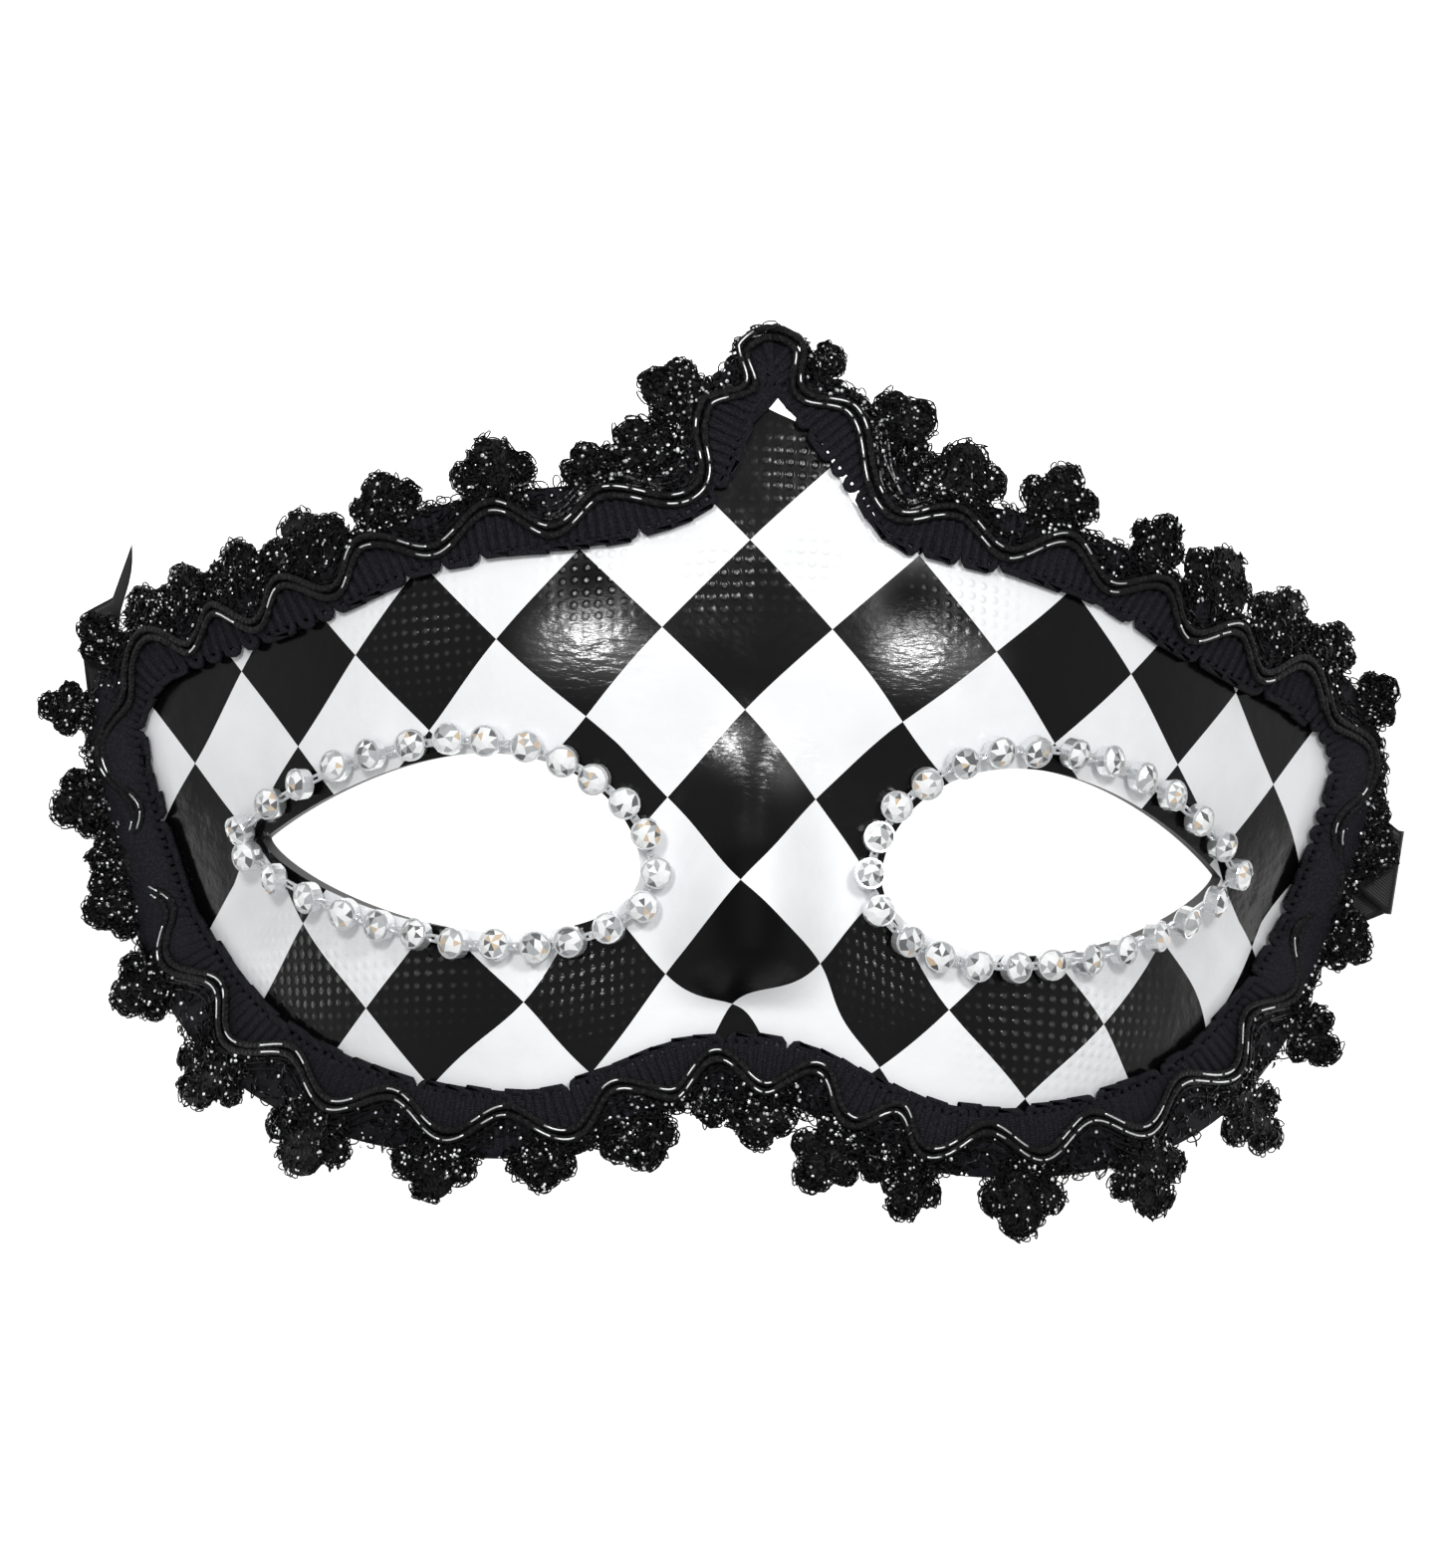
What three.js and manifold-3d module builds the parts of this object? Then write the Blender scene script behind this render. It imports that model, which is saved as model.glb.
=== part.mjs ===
// A carnival eye mask lying face up: a moulded shell with two eye holes, three lengths of lace
// braid with fans round its edge, a string of cut stones round each eye and two satin ties.
// Millimetres. +X is the viewer's right, +Y runs up the forehead and +Z faces the viewer.

import * as THREE from "three";
import { mergeVertices } from "three/addons/utils/BufferGeometryUtils.js";
import Module from "manifold-3d";

const wasm = await Module();
wasm.setup();

// Shell
const WALL = 1.5;
const CROWN = 55.9;
const SIDE_HALF = 83;
const SIDE_TAPER = 8.2;
const TEMPLE_TOP = 14.5;
const TEMPLE_FOOT = -18;
const WRAP_BEND = 65;
const WRAP_POWER = 2.7;
const WRAP_SLOPE = 1.2;
const LEAN_START = 20;
const LEAN_RATE = 0.003;

// Half of the shell's edge seen from the front, from the tip down the right side to the nose.
// The right and left columns are how far the braid, laid by hand, stands off that edge at the tip.
const EDGE = [
  { x: 0, y: 58, right: [0.2, 6.6] },
  { x: 6.8, y: 54.4, right: [-0.6, 3.2], left: [-1.9, 0.8] },
  { x: 11.3, y: 46.4, right: [2.9, 1.6], left: [-2.5, 0.4] },
  { x: 19.5, y: 42, right: [-0.2, 0.4] },
  { x: 34, y: 39.6 },
  { x: 46, y: 36.3 },
  { x: 56.5, y: 31 },
  { x: 67.8, y: 26 },
  { x: 78, y: 22 },
  { x: 83, y: 14.5 },
  { x: 81, y: 4 },
  { x: 76.4, y: -9 },
  { x: 70.6, y: -19 },
  { x: 60.6, y: -28.6 },
  { x: 46.3, y: -34.4 },
  { x: 28.5, y: -36.2 },
  { x: 17, y: -32.6 },
  { x: 9, y: -28.8 },
  { x: 0, y: -27.6 },
];

// How closely the shell's facets lie: finest over the nose, and along the edge and the eyes
const COLUMNS = [
  { from: -92, to: -15, step: 7 },
  { from: -15, to: 15, step: 3.4 },
  { from: 15, to: 92, step: 7 },
];
const ROWS = [
  { from: -44, to: -24, step: 10 },
  { from: -24, to: -11, step: 2.6 },
  { from: -11, to: 66, step: 11 },
];
const EDGE_STEPS = 88;
const EYE_STEPS = 32;
const CUTTER = { from: -40, depth: 120 };

// Nose: a ridge that grows down to its tip and drops to a flat lip
const NOSE = { height: 10.5, top: 22, tip: -14, dropFrom: -13, dropTo: -22, slim: 9, flare: 4.5 };

// Soft swellings over each brow and cheek
const SWELLS = [
  { height: 2.5, x: 24, y: 26, spreadX: 14, spreadY: 8 },
  { height: 1.8, x: 40, y: -23, spreadX: 14, spreadY: 8 },
];

// Eye holes: an almond from the round inner end to the pointed outer corner
const EYES = [
  { side: "left", sign: -1, innerX: 14.4, innerY: -3.8, outerX: 63.5, outerY: -1.4, rise: 13.2, fall: 9.6 },
  { side: "right", sign: 1, innerX: 17.4, innerY: -3.2, outerX: 63, outerY: -0.8, rise: 14.4, fall: 10.4 },
];
const LIDS = { upper: { inner: 0.58, outer: 0.85 }, lower: { inner: 0.5, outer: 0.75 } };

// Where the cut hole departs from the almond that the stones follow
const HOLES = {
  left: { cornerX: 0.7, cornerY: -0.45, rise: 0.8 },
  right: { cornerX: 2.4, cornerY: -1.3, rise: 0 },
};
const HOLE_LIDS = { upper: { inner: 0.55, outer: 0.93 }, lower: { inner: 0.5, outer: 0.69 } };

// Stones: cut gems in cups, joined by bars, standing just outside each eye hole
const STONES = { left: 26, right: 25 };
const STRING = { innerOut: 2, outerOut: 3.6, riseOut: 2.3, fallOut: 2.1, steps: 160 };
const CUP = { base: 1.6, radius: 2.15, wall: 1.9, table: 1.2, height: 2.9, sides: 8, lift: 0.55 };
const BAR = { width: 0.9, height: 0.9, lift: 0.9 };

// Lace braid: a flat band with a raised wavy cord, lying half on and half off the shell's edge.
// It is gathered narrower over the tip, and crests are where its cord swings outwards.
const BAND = { inner: -3.2, outer: 5.7, thick: 1.2 };
const GATHER = { inner: -0.6, outer: 4.2, over: 11 };
const WAVE = { swing: 2.1, middle: 1.7, halfWidth: 1.6, rise: 0.8, taper: 5, edge: 0.3 };
const CRESTS = {
  trim_top_right: [0, 13, 35, 50, 63.6, 76.1, 87.6, 100],
  trim_lower: [
    87.6, 102.1, 118.6, 133.1, 146.6, 160.6, 174.6, 188.6, 198.6, 212, -207, -192.9, -178.4, -163.9,
    -149.9, -137.1, -123.6, -109.1, -94.1,
  ],
  trim_top_left: [-94.1, -85.1, -75.1, -63.1, -47.1, -32.6, -10, -0.2],
};
const BAND_STEP = 4.6;
const BRAID_DIVISIONS = 1200;
const CORNER_AT = 92;
const JOIN_GAP = 0.5;

// Fans: place along the braid from the tip, clockwise or, if negative, the other way round,
// then reach past the band, width and lean in degrees
const FANS = {
  trim_top_right: [
    { at: 4.8, reach: 0.8, width: 4, lean: 0 },
    { at: 18, reach: 6.4, width: 10, lean: 6 },
    { at: 24, reach: 3, width: 7, lean: 0 },
    { at: 35.3, reach: 7.4, width: 11.3, lean: 0 },
    { at: 47.9, reach: 7.9, width: 10.4, lean: 0 },
    { at: 60.3, reach: 7.3, width: 7.5, lean: 6 },
    { at: 70.3, reach: 7.6, width: 11, lean: 8 },
    { at: 81.8, reach: 6.9, width: 10, lean: 8 },
    { at: 90, reach: 5.6, width: 7.5, lean: 10 },
  ],
  trim_lower: [
    { at: 96.8, reach: 5.4, width: 7.5, lean: 0 },
    { at: 107.3, reach: 1.6, width: 4, lean: 0 },
    { at: 112, reach: 4.2, width: 8, lean: 0 },
    { at: 123.8, reach: 6.2, width: 8, lean: 4 },
    { at: 135.4, reach: 11, width: 8.4, lean: 4 },
    { at: 147.6, reach: 13, width: 9.8, lean: 0 },
    { at: 161.3, reach: 11.3, width: 11, lean: 0 },
    { at: 176.7, reach: 9.4, width: 11.3, lean: 4 },
    { at: 188.5, reach: 8.4, width: 7.4, lean: 8 },
    { at: 193, reach: 4.2, width: 5, lean: 0 },
    { at: 198.4, reach: 10, width: 9.3, lean: 10 },
    { at: 212, reach: 6, width: 9, lean: 0 },
    { at: -212.5, reach: 3.2, width: 4.5, lean: 0 },
    { at: -200.3, reach: 5.2, width: 9.8, lean: 0 },
    { at: -189, reach: 4.2, width: 8, lean: 0 },
    { at: -177, reach: 6.8, width: 10.4, lean: -4 },
    { at: -162.7, reach: 9.7, width: 11.3, lean: 0 },
    { at: -150.4, reach: 10, width: 9.8, lean: 0 },
    { at: -137.8, reach: 9.3, width: 9.8, lean: 4 },
    { at: -127, reach: 6.4, width: 9.8, lean: -4 },
    { at: -121.2, reach: 4, width: 4.5, lean: 0 },
    { at: -113.8, reach: 7.2, width: 9, lean: -4 },
    { at: -104, reach: 7.6, width: 6.5, lean: 0 },
    { at: -98, reach: 7.6, width: 6.5, lean: 0 },
  ],
  trim_top_left: [
    { at: -88.6, reach: 5, width: 7.5, lean: 0 },
    { at: -80.3, reach: 5.8, width: 8.4, lean: 8 },
    { at: -70.2, reach: 5.2, width: 11.3, lean: 0 },
    { at: -59.3, reach: 5.8, width: 9, lean: 0 },
    { at: -46.3, reach: 7.1, width: 10.6, lean: 0 },
    { at: -34, reach: 5, width: 6.5, lean: 0 },
    { at: -25.5, reach: 5.8, width: 11, lean: 0 },
    { at: -10.2, reach: 7.6, width: 9, lean: -4 },
  ],
};
const FAN = { root: 4.9, sunk: 0.9, lift: 0.5, thick: 0.9, neck: 0.17 };

// Lobes of a fan, as shares of its width and reach, with the turn of each arc in degrees
const LOBES = [
  { across: 0.3, outward: 0.42, radius: 0.2, from: -60, to: 90, steps: 2 },
  { across: 0, outward: 0.68, radius: 0.26, from: -5, to: 185, steps: 4 },
  { across: -0.3, outward: 0.42, radius: 0.2, from: 90, to: 240, steps: 2 },
];

// Ties: flat satin ribbons, glued inside a temple and folded once over the surface they lie on
const TIE = { width: 10, thick: 1, layerGap: 0.3, step: 3, hem: 1.2, glueGap: 0.95, softness: 0.6 };
const TIES = [
  { side: "left", glued: [-66, -7], fold: [-80, -7.8], end: [-85.8, 33.4] },
  { side: "right", glued: [72, 14], fold: [91, -0.5], end: [26, -29.5] },
];

// Where pieces touch
const SEAT_GAP = 0.35;
const LACE_FLOOR = 1.3;
const TIE_HUMP = { height: 1.4, y: -3, spread: 13 };
const FLOOR_SOFTNESS = 2.5;
const SLOPE_STEP = 0.25;
const MERGE = 1e-4;

// Finishes: printed vinyl, lace thread, clear acrylic and satin
const FINISH = {
  shell: { color: 0xe9e8e6, roughness: 0.35, metalness: 0 },
  trim: { color: 0x1b1b20, roughness: 0.7, metalness: 0 },
  stones: { color: 0xdfe4e8, roughness: 0.1, metalness: 0 },
  tie: { color: 0x232225, roughness: 0.45, metalness: 0 },
};

// Small curve helpers
const clamp01 = (t) => Math.min(1, Math.max(0, t));
const ease = (t) => clamp01(t) ** 2 * (3 - 2 * clamp01(t));
const bell = (t) => Math.exp(-t * t);
const lerp = THREE.MathUtils.lerp;
const softMax = (a, b, soft) => 0.5 * (a + b + Math.hypot(a - b, soft));

// Height of the shell's face over the floor. The sides fall away along a power curve that runs
// straight past the bend, measured so that both temple edges lie at one height.
function faceHeight(x, y) {
  const reach = SIDE_HALF - SIDE_TAPER * ease((TEMPLE_TOP - y) / (TEMPLE_TOP - TEMPLE_FOOT));
  const across = (Math.abs(x) * SIDE_HALF) / reach;
  const bent = Math.min(across, WRAP_BEND);
  const wrap = (WRAP_SLOPE * WRAP_BEND * (bent / WRAP_BEND) ** WRAP_POWER) / WRAP_POWER;
  const straight = WRAP_SLOPE * Math.max(0, across - WRAP_BEND);
  const lean = LEAN_RATE * Math.max(0, y - LEAN_START) ** 2;
  return CROWN - wrap - straight - lean + noseHeight(x, y) + swellHeight(x, y);
}

function noseHeight(x, y) {
  const growth = ease((NOSE.top - y) / (NOSE.top - NOSE.tip));
  const drop = 1 - ease((NOSE.dropFrom - y) / (NOSE.dropFrom - NOSE.dropTo));
  const half = NOSE.slim + NOSE.flare * growth;
  const across = Math.min(1, Math.abs(x) / half);
  return NOSE.height * growth * drop * Math.cos((Math.PI * across) / 2) ** 2;
}

function swellHeight(x, y) {
  return SWELLS.reduce(
    (sum, s) => sum + s.height * bell((Math.abs(x) - s.x) / s.spreadX) * bell((y - s.y) / s.spreadY),
    0,
  );
}

// The lace follows the face and settles on the floor, over the folded ties
function laceHeight(x, y) {
  const floor = LACE_FLOOR + TIE_HUMP.height * bell((y - TIE_HUMP.y) / TIE_HUMP.spread);
  return softMax(faceHeight(x, y), floor, FLOOR_SOFTNESS);
}

// Steepness of a height field, and the unit normal that points up from it
function slopeOf(height, x, y) {
  const dx = (height(x + SLOPE_STEP, y) - height(x - SLOPE_STEP, y)) / (2 * SLOPE_STEP);
  const dy = (height(x, y + SLOPE_STEP) - height(x, y - SLOPE_STEP)) / (2 * SLOPE_STEP);
  return { normal: new THREE.Vector3(-dx, -dy, 1).normalize(), stretch: Math.hypot(1, dx, dy) };
}

// Point at a distance above a height field, measured square to it
function above(height, x, y, distance) {
  const point = new THREE.Vector3(x, y, height(x, y));
  return point.addScaledVector(slopeOf(height, x, y).normal, distance);
}

// Closed meshes and their joins
const ladderCap = (count) => {
  const faces = [];
  for (let i = 0; i < count / 2 - 1; i += 1) {
    const [a, b, c, d] = [i, i + 1, count - 2 - i, count - 1 - i];
    faces.push([a, b, c], [a, c, d]);
  }
  return faces;
};

const fanCap = (count) => Array.from({ length: count - 2 }, (_, i) => [0, i + 1, i + 2]);

// Skins a row of matching rings and closes both ends, with the faces pointing out
function loft(rings, cap) {
  const count = rings[0].length;
  const faces = [];
  for (let row = 0; row < rings.length - 1; row += 1) {
    for (let i = 0; i < count; i += 1) {
      const [a, b] = [row * count + i, row * count + ((i + 1) % count)];
      faces.push([a, b, b + count], [a, b + count, a + count]);
    }
  }
  const last = (rings.length - 1) * count;
  for (const [a, b, c] of cap) {
    faces.push([c, b, a], [last + a, last + b, last + c]);
  }
  const points = rings.flat();
  const volume = faces.reduce((sum, [a, b, c]) => {
    return sum + points[a].dot(new THREE.Vector3().crossVectors(points[b], points[c]));
  }, 0);
  const outward = volume > 0 ? faces : faces.map(([a, b, c]) => [c, b, a]);
  const geometry = new THREE.BufferGeometry().setFromPoints(points);
  geometry.setIndex(outward.flat());
  return geometry;
}

function toSolid(geometry) {
  const bare = geometry.clone();
  bare.deleteAttribute("normal");
  bare.deleteAttribute("uv");
  const merged = mergeVertices(bare, MERGE);
  const vertProperties = new Float32Array(merged.attributes.position.array);
  const triVerts = new Uint32Array(merged.index.array);
  return new wasm.Manifold(new wasm.Mesh({ numProp: 3, vertProperties, triVerts }));
}

function toGeometry(solid) {
  const mesh = solid.getMesh();
  const geometry = new THREE.BufferGeometry();
  geometry.setAttribute("position", new THREE.BufferAttribute(mesh.vertProperties, 3));
  geometry.setIndex(new THREE.BufferAttribute(mesh.triVerts, 1));
  geometry.computeVertexNormals();
  return geometry;
}

const fuse = (geometries) => toGeometry(geometries.map(toSolid).reduce((all, next) => all.add(next)));

// Outlines seen from the front
function shellEdge() {
  const right = EDGE.map(({ x, y }) => new THREE.Vector3(x, y, 0));
  const left = right.slice(0, -1).reverse().map((p) => new THREE.Vector3(-p.x, p.y, 0));
  return new THREE.CatmullRomCurve3([...right, ...left], false, "catmullrom");
}

function braidEdge() {
  const right = EDGE.map(({ x, y, right: [dx, dy] = [0, 0] }) => new THREE.Vector3(x + dx, y + dy, 0));
  const left = EDGE.slice(1, -1)
    .reverse()
    .map(({ x, y, left: [dx, dy] = [0, 0] }) => new THREE.Vector3(-x - dx, y + dy, 0));
  const curve = new THREE.CatmullRomCurve3([...right, ...left], true, "catmullrom");
  curve.arcLengthDivisions = BRAID_DIVISIONS;
  return curve;
}

// One lid rises from the chord of the eye by q^inner (1-q)^outer, scaled to a peak of one
function lidShape(q, { inner, outer }) {
  const peak = inner / (inner + outer);
  const scale = peak ** inner * (1 - peak) ** outer;
  return (q ** inner * (1 - q) ** outer) / scale;
}

function eyeOutline(eye, lids, steps) {
  const points = [];
  for (let i = 0; i < steps; i += 1) {
    const turn = (2 * Math.PI * i) / steps;
    const q = 0.5 - 0.5 * Math.cos(turn);
    const chord = lerp(eye.innerY, eye.outerY, q);
    const upper = turn <= Math.PI;
    const lid = upper ? eye.rise * lidShape(q, lids.upper) : -eye.fall * lidShape(q, lids.lower);
    points.push(new THREE.Vector2(eye.sign * lerp(eye.innerX, eye.outerX, q), chord + lid));
  }
  return points;
}

function holeOutline(eye) {
  const { cornerX, cornerY, rise } = HOLES[eye.side];
  const cut = { ...eye, outerX: eye.outerX + cornerX, outerY: eye.outerY + cornerY, rise: eye.rise + rise };
  return eyeOutline(cut, HOLE_LIDS, EYE_STEPS);
}

// Shell: a curved slab of even thickness, trimmed by the outline and the eye holes
function gridLines(spans) {
  const lines = spans.flatMap(({ from, to, step }) => {
    const count = Math.round((to - from) / step);
    return Array.from({ length: count }, (_, i) => lerp(from, to, i / count));
  });
  return [...lines, spans.at(-1).to];
}

function shellGeometry() {
  const columns = gridLines(COLUMNS);
  const rings = gridLines(ROWS).map((y) => {
    const outside = columns.map((x) => above(faceHeight, x, y, 0));
    const inside = columns.map((x) => above(faceHeight, x, y, -WALL));
    return [...outside, ...inside.reverse()];
  });
  const slab = loft(rings, ladderCap(rings[0].length));

  const edge = shellEdge().getSpacedPoints(EDGE_STEPS).slice(0, -1).reverse();
  const outline = new THREE.Shape(edge.map((p) => new THREE.Vector2(p.x, p.y)));
  outline.holes = EYES.map((eye) => new THREE.Path(holeOutline(eye)));
  const cutter = new THREE.ExtrudeGeometry(outline, { depth: CUTTER.depth, bevelEnabled: false });
  cutter.translate(0, 0, CUTTER.from);
  return toGeometry(toSolid(slab).intersect(toSolid(cutter)));
}

// Stones: one fused string round each eye
function stoneStringGeometry(eye) {
  const wider = {
    ...eye,
    innerX: eye.innerX - STRING.innerOut,
    outerX: eye.outerX + STRING.outerOut,
    rise: eye.rise + STRING.riseOut,
    fall: eye.fall + STRING.fallOut,
  };
  const loop = eyeOutline(wider, LIDS, STRING.steps).map((p) => new THREE.Vector3(p.x, p.y, 0));
  const count = STONES[eye.side];
  const route = new THREE.CatmullRomCurve3(loop, true).getSpacedPoints(count).slice(0, -1);
  const profile = [
    [0, 0],
    [CUP.base, 0],
    [CUP.radius, CUP.wall],
    [CUP.table, CUP.height],
    [0, CUP.height],
  ].map(([r, h]) => new THREE.Vector2(r, h));
  const nextOf = (i) => route[(i + 1) % count];
  const cups = route.map((p, i) => {
    const up = slopeOf(faceHeight, p.x, p.y).normal;
    const side = new THREE.Vector3().crossVectors(up, nextOf(i).clone().sub(p)).normalize();
    const onward = new THREE.Vector3().crossVectors(side, up);
    const cup = new THREE.LatheGeometry(profile, CUP.sides, Math.PI / CUP.sides);
    const seat = above(faceHeight, p.x, p.y, CUP.lift);
    return cup.applyMatrix4(new THREE.Matrix4().makeBasis(side, up, onward).setPosition(seat));
  });
  const bars = route.map((p, i) => barGeometry(p, nextOf(i)));
  return fuse([...cups, ...bars]);
}

function barGeometry(from, to) {
  const middle = { x: (from.x + to.x) / 2, y: (from.y + to.y) / 2 };
  const start = above(faceHeight, from.x, from.y, BAR.lift);
  const end = above(faceHeight, to.x, to.y, BAR.lift);
  const along = new THREE.Vector3().subVectors(end, start);
  const up = slopeOf(faceHeight, middle.x, middle.y).normal;
  const side = new THREE.Vector3().crossVectors(up, along).setLength(BAR.width / 2);
  const ring = (at) => [
    at.clone().sub(side),
    at.clone().add(side),
    at.clone().addScaledVector(up, BAR.height),
  ];
  return loft([ring(start), ring(end)], fanCap(3));
}

// Braid: place along it is measured from the tip, clockwise
const braidCurve = braidEdge();
const braidLength = braidCurve.getLength();

const STRETCHES = [
  { name: "trim_top_right", from: JOIN_GAP / 2, to: CORNER_AT },
  { name: "trim_lower", from: CORNER_AT + JOIN_GAP, to: braidLength - CORNER_AT - JOIN_GAP },
  { name: "trim_top_left", from: braidLength - CORNER_AT, to: braidLength - JOIN_GAP / 2 },
];

function braidPoint(at, out) {
  const u = (at < 0 ? at + braidLength : at) / braidLength;
  const point = braidCurve.getPointAt(u);
  const along = braidCurve.getTangentAt(u);
  return { x: point.x - along.y * out, y: point.y + along.x * out };
}

// Turns of the cord up to a place, counted from crest to crest
function waveTurns(at, crests) {
  const places = crests.map((crest) => (crest < 0 ? crest + braidLength : crest));
  const i = Math.max(1, places.findIndex((place) => place >= at));
  return i + (at - places[i]) / (places[i] - places[i - 1]);
}

function bandGeometry({ name, from, to }) {
  const steps = Math.round((to - from) / BAND_STEP);
  const rings = [];
  for (let i = 0; i <= steps; i += 1) {
    const at = lerp(from, to, i / steps);
    const ridge = WAVE.rise * clamp01(Math.min(at - from, to - at) / WAVE.taper);
    const swing = WAVE.swing * Math.cos(2 * Math.PI * waveTurns(at, CRESTS[name]));
    const full = ease(Math.min(at, braidLength - at) / GATHER.over);
    const inner = lerp(GATHER.inner, BAND.inner, full);
    const outer = lerp(GATHER.outer, BAND.outer, full);
    const margin = WAVE.halfWidth + WAVE.edge;
    const crest = THREE.MathUtils.clamp(WAVE.middle + swing, inner + margin, outer - margin);
    const section = [
      [inner, 0],
      [inner, BAND.thick],
      [crest - WAVE.halfWidth, BAND.thick],
      [crest, BAND.thick + ridge],
      [crest + WAVE.halfWidth, BAND.thick],
      [outer, BAND.thick],
      [outer, 0],
    ];
    rings.push(
      section.map(([out, height]) => {
        const p = braidPoint(at, out);
        return above(laceHeight, p.x, p.y, SEAT_GAP + height);
      }),
    );
  }
  return loft(rings, fanCap(rings[0].length));
}

// One fan: three round lobes on a neck that is rooted in the outer edge of the band
function fanOutline({ reach, width, lean }) {
  const length = reach + BAND.outer - FAN.root;
  const outline = [-1, 1].map((side) => new THREE.Vector2(side * FAN.neck * width, -FAN.sunk));
  for (const lobe of LOBES) {
    const middle = new THREE.Vector2(lobe.across * width, lobe.outward * length);
    const tall = lobe.across === 0 ? length * (1 - lobe.outward) : lobe.radius * width;
    for (let i = 0; i <= lobe.steps; i += 1) {
      const turn = THREE.MathUtils.degToRad(lerp(lobe.from, lobe.to, i / lobe.steps));
      const arc = new THREE.Vector2(lobe.radius * width * Math.cos(turn), tall * Math.sin(turn));
      outline.push(arc.add(middle));
    }
  }
  const centre = new THREE.Vector2();
  return outline.map((p) => p.rotateAround(centre, -THREE.MathUtils.degToRad(lean)));
}

function fanGeometry(fan) {
  const outline = fanOutline(fan);
  const root = braidPoint(fan.at, FAN.root);
  const tip = braidPoint(fan.at, FAN.root + 1);
  const out = new THREE.Vector2(tip.x - root.x, tip.y - root.y);
  const ring = (height) =>
    outline.map((p) => {
      const x = root.x + out.x * p.y + out.y * p.x;
      const y = root.y + out.y * p.y - out.x * p.x;
      return above(laceHeight, x, y, SEAT_GAP + height);
    });
  const cap = THREE.ShapeUtils.triangulateShape(outline, []);
  return loft([ring(FAN.lift - FAN.thick / 2), ring(FAN.lift + FAN.thick / 2)], cap);
}

function trimGeometry(stretch) {
  const fans = FANS[stretch.name].map(fanGeometry);
  return fuse([bandGeometry(stretch), ...fans]);
}

// Ties: an upper layer from the glued end down the inside of the shell, and a lower one on the floor
function tieGeometry({ glued, fold, end }) {
  const start = new THREE.Vector2(...glued);
  const corner = new THREE.Vector2(...fold);
  const finish = new THREE.Vector2(...end);
  const inward = corner.clone().sub(start).normalize();
  const onward = finish.clone().sub(corner).normalize();
  const foldLine = inward.clone().sub(onward).normalize();
  foldLine.set(-foldLine.y, foldLine.x);

  const upperFloor = TIE.thick + TIE.layerGap;
  const upperHeight = (x, y) => {
    const { stretch } = slopeOf(faceHeight, x, y);
    const clear = WALL + TIE.glueGap + TIE.thick;
    return softMax(faceHeight(x, y) - clear * stretch, upperFloor, TIE.softness);
  };
  const upper = tieLayer(start, corner, foldLine, false, upperHeight, TIE.step);
  const lower = tieLayer(corner, finish, foldLine, true, () => 0, Infinity);
  return fuse([upper, lower, tieFold(corner, inward, foldLine, upperFloor + TIE.thick)]);
}

// One layer: square at its free end and cut along the fold at the other
function tieLayer(from, to, foldLine, foldFirst, height, step) {
  const along = to.clone().sub(from);
  const length = along.length();
  along.normalize();
  const side = new THREE.Vector2(-along.y, along.x);
  const skew = foldLine.dot(along) / foldLine.dot(side);
  const steps = Math.max(1, Math.round(length / step));
  const across = [-TIE.width / 2, 0, TIE.width / 2];
  const rings = [];
  for (let i = 0; i <= steps; i += 1) {
    const t = i / steps;
    const mitre = foldFirst ? 1 - t : t;
    const points = across.map((v) => {
      const reach = t * length + mitre * skew * v;
      return from.clone().addScaledVector(along, reach).addScaledVector(side, v);
    });
    const bottom = points.map((p) => above(height, p.x, p.y, 0));
    const top = points.map((p) => above(height, p.x, p.y, TIE.thick));
    rings.push([...top, ...bottom.reverse()]);
  }
  return loft(rings, ladderCap(rings[0].length));
}

// The rounded fold joins both layers along the fold line
function tieFold(corner, inward, foldLine, height) {
  const skew = Math.abs(foldLine.x * inward.y - foldLine.y * inward.x);
  const half = TIE.width / 2 / skew;
  const out = new THREE.Vector2(-foldLine.y, foldLine.x);
  if (out.dot(inward) < 0) out.negate();
  const section = [
    [-TIE.hem, 0],
    [0, 0],
    [TIE.hem / 2, TIE.thick / 2],
    [TIE.hem / 2, height - TIE.thick / 2],
    [0, height],
    [-TIE.hem, height],
  ];
  const ring = (v) =>
    section.map(([reach, z]) => {
      const p = corner.clone().addScaledVector(foldLine, v).addScaledVector(out, reach);
      return new THREE.Vector3(p.x, p.y, z);
    });
  return loft([ring(-half), ring(half)], fanCap(section.length));
}

// Assembly, with the origin at the middle of the foot of its box
const mask = new THREE.Group();

function addPiece(name, geometry, finish) {
  const piece = new THREE.Mesh(geometry, new THREE.MeshStandardMaterial(finish));
  piece.name = name;
  mask.add(piece);
}

addPiece("shell", shellGeometry(), FINISH.shell);
STRETCHES.forEach((stretch) => addPiece(stretch.name, trimGeometry(stretch), FINISH.trim));
EYES.forEach((eye) => addPiece(`stones_${eye.side}`, stoneStringGeometry(eye), FINISH.stones));
TIES.forEach((tie) => addPiece(`tie_${tie.side}`, tieGeometry(tie), FINISH.tie));

const box = new THREE.Box3().setFromObject(mask);
const middle = box.getCenter(new THREE.Vector3());
mask.position.set(-middle.x, -middle.y, -box.min.z);

export default mask;
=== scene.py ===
"""A harlequin carnival eye mask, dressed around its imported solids.

Every piece is worked out in millimetres on the mask's own plane, where x runs to the viewer's right,
y up the forehead to the peak and z out of the face, and is then set into the frame in metres.
"""

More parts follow.
